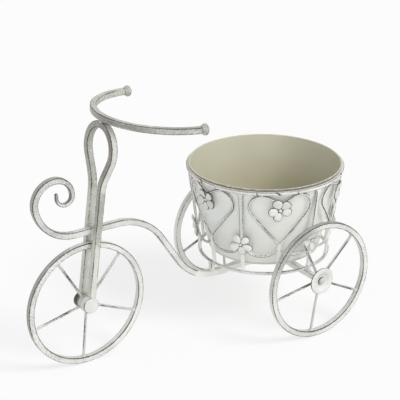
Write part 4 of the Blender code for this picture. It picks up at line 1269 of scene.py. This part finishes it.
def pot():
    """Tapered sheet pot with a rolled rim: white outside, beige inside."""
    bead = POT_BEAD / 2
    neck = bead_bottom - RIM_LOWERED
    bead_height = neck + bead
    bead_radius = POT_RIM_RADIUS - bead
    recess = pot_floor + POT_FOOT_HEIGHT
    inside_floor = recess + POT_WALL
    foot_radius = POT_BASE_RADIUS - POT_CORNER
    recess_radius = foot_radius - POT_FOOT_WIDTH
    widening = pot_neck_radius - POT_BASE_RADIUS
    wall_rise = neck - pot_floor - POT_CORNER
    profile = [(0.0, recess, 0.0), (recess_radius * 0.5, recess, 0.0), (recess_radius, recess, 0.0),
               (recess_radius + POT_CORNER, pot_floor, 0.5), (foot_radius, pot_floor, 0.6)]
    for k in range(1, 5):
        t = k / 4 * pi / 2
        profile.append((foot_radius + POT_CORNER * sin(t), pot_floor + POT_CORNER * (1 - cos(t)), 0.6))
    for rise, value in ((0.5 * MM, 0.75), (1.2 * MM, 0.60), (1.7 * MM, 0.0)):
        profile.append((POT_BASE_RADIUS + widening / wall_rise * rise, pot_floor + POT_CORNER + rise, value))
    shares = [k / WALL_STEPS for k in range(1, WALL_STEPS)]
    profile += [(POT_BASE_RADIUS + widening * share, pot_floor + POT_CORNER + wall_rise * share, 0.0)
                for share in shares]
    # The bead's lower half carries a dark line: worn paint and painted shade in the gap above the ring
    for k in range(17):
        t = pi * (k / 16 * 1.45 - 0.55)
        value = (0.15, 1.45, 0.78, 0.45, 0.15)[(k > 3) + (k > 6) + (k > 9) + (k > 12)]
        profile.append((bead_radius + bead * cos(t), bead_height + bead * sin(t), value))
    profile += [(pot_neck_radius - POT_WALL, bead_height - 0.6 * MM, 0.2),
                (pot_neck_radius - POT_WALL - 0.1 * MM, bead_height - 1.3 * MM, 0.0)]
    profile += [(pot_neck_radius - POT_WALL - widening * share,
                 bead_height + (inside_floor + POT_CORNER - bead_height) * share, 0.0) for share in shares]
    profile += [(foot_radius - POT_WALL + POT_CORNER * 0.8, inside_floor + POT_CORNER * 0.5, 0.0),
                (foot_radius - POT_WALL, inside_floor, 0.0), (recess_radius * 0.5, inside_floor, 0.0),
                (0.0, inside_floor, 0.0)]
    front = radians(255)

    def uneven(t):
        """The rim's dark line, worn paint together with painted shade, is strongest in front."""
        return 0.45 + 0.60 * max(0.0, cos(0.8 * ((t - front + pi) % FULL_TURN - pi)))

    centre = Vector((pot_x, 0, 0))
    bm = lathe(new_mesh(), profile, centre, axis=UPRIGHT, steps=POT_SIDES, rough=False, uneven=uneven)
    for face in bm.faces:
        spot = face.calc_center_median()
        outer = POT_BASE_RADIUS + widening * (spot.z - pot_floor) / (neck - pot_floor)
        within = hypot(spot.x - pot_x, spot.y) < outer - 0.45 * MM and spot.z > inside_floor - 0.2 * MM
        face.material_index = 1 if within or spot.z > bead_height + 0.25 * MM else 0
    put("pot", bm, "pot_outside", "pot", more=("pot_inside",))


# Brightness, wear and specks of each paint, and then, where they differ, its grime and painted shade,
# streaks, metal and cast
LOOKS = {
    "bar": (1.00, 0.14, 0.60),
    # Brighter and less worn: painted light for the axle bar and post under the pot
    "clean_and_lit": (1.15, -0.15, 0.20, 0.35),
    "fork": (0.95, 0.14, 0.50, 0.6, 0.45, 0.0, OLIVE),
    "handlebar": (0.86, 0.14, 0.70, 0.6, 0.0, 0.0, OLIVE),
    "knob": (0.78, 0.20, 0.95, 0.6, 0.0, 0.0, OLIVE),
    "rim": (1.04, 0.16, 0.80),
    # Lighter copy of the rim paint for the far rear wheel: painted light
    "lit_rim": (1.12, -0.14, 0.60),
    "spoke": (0.84, 0.24, 0.55, 0.3),
    "boss": (1.06, -0.10, 0.25, 0.3),
    "bare": (0.95, 0.25, 0.50, 0.6, 0.0, 0.8),
    "disc": (1.06, 0.10, 0.20),
    "pin": (0.95, -0.08, 0.80),
    "band": (1.04, 0.10, 0.45, 0.2, 0.0, 0.0, PINKISH),
    "strap": (1.10, 0.12, 0.30),
    "wire": (0.98, -0.12, 0.30),
    "heart": (1.10, 0.22, 0.20),
    "flower": (1.14, 0.10, 0.30),
    # Lighter copies for the panel that faces the key light: painted light
    "lit_flower": (1.14, -0.45, 0.10, 0.2),
    "lit_wire": (1.05, -0.55, 0.10, 0.3),
    "heart_flower": (1.02, 0.12, 0.35),
    "weld": (1.00, -0.10, 0.40),
}
camera()
surroundings()
look = {key: worn_paint(key + "_paint", *values) for key, values in LOOKS.items()}
look["pot_outside"] = pot_outside()
look["pot_inside"] = pot_inside()
front_wheel()
fork()
handlebar()
main_bar()
rear_axle()
post()
basket()
pot()
steel = dull_steel()
pin_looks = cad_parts["front_axle_pin"].data.materials
pin_looks.clear()
pin_looks.append(steel)
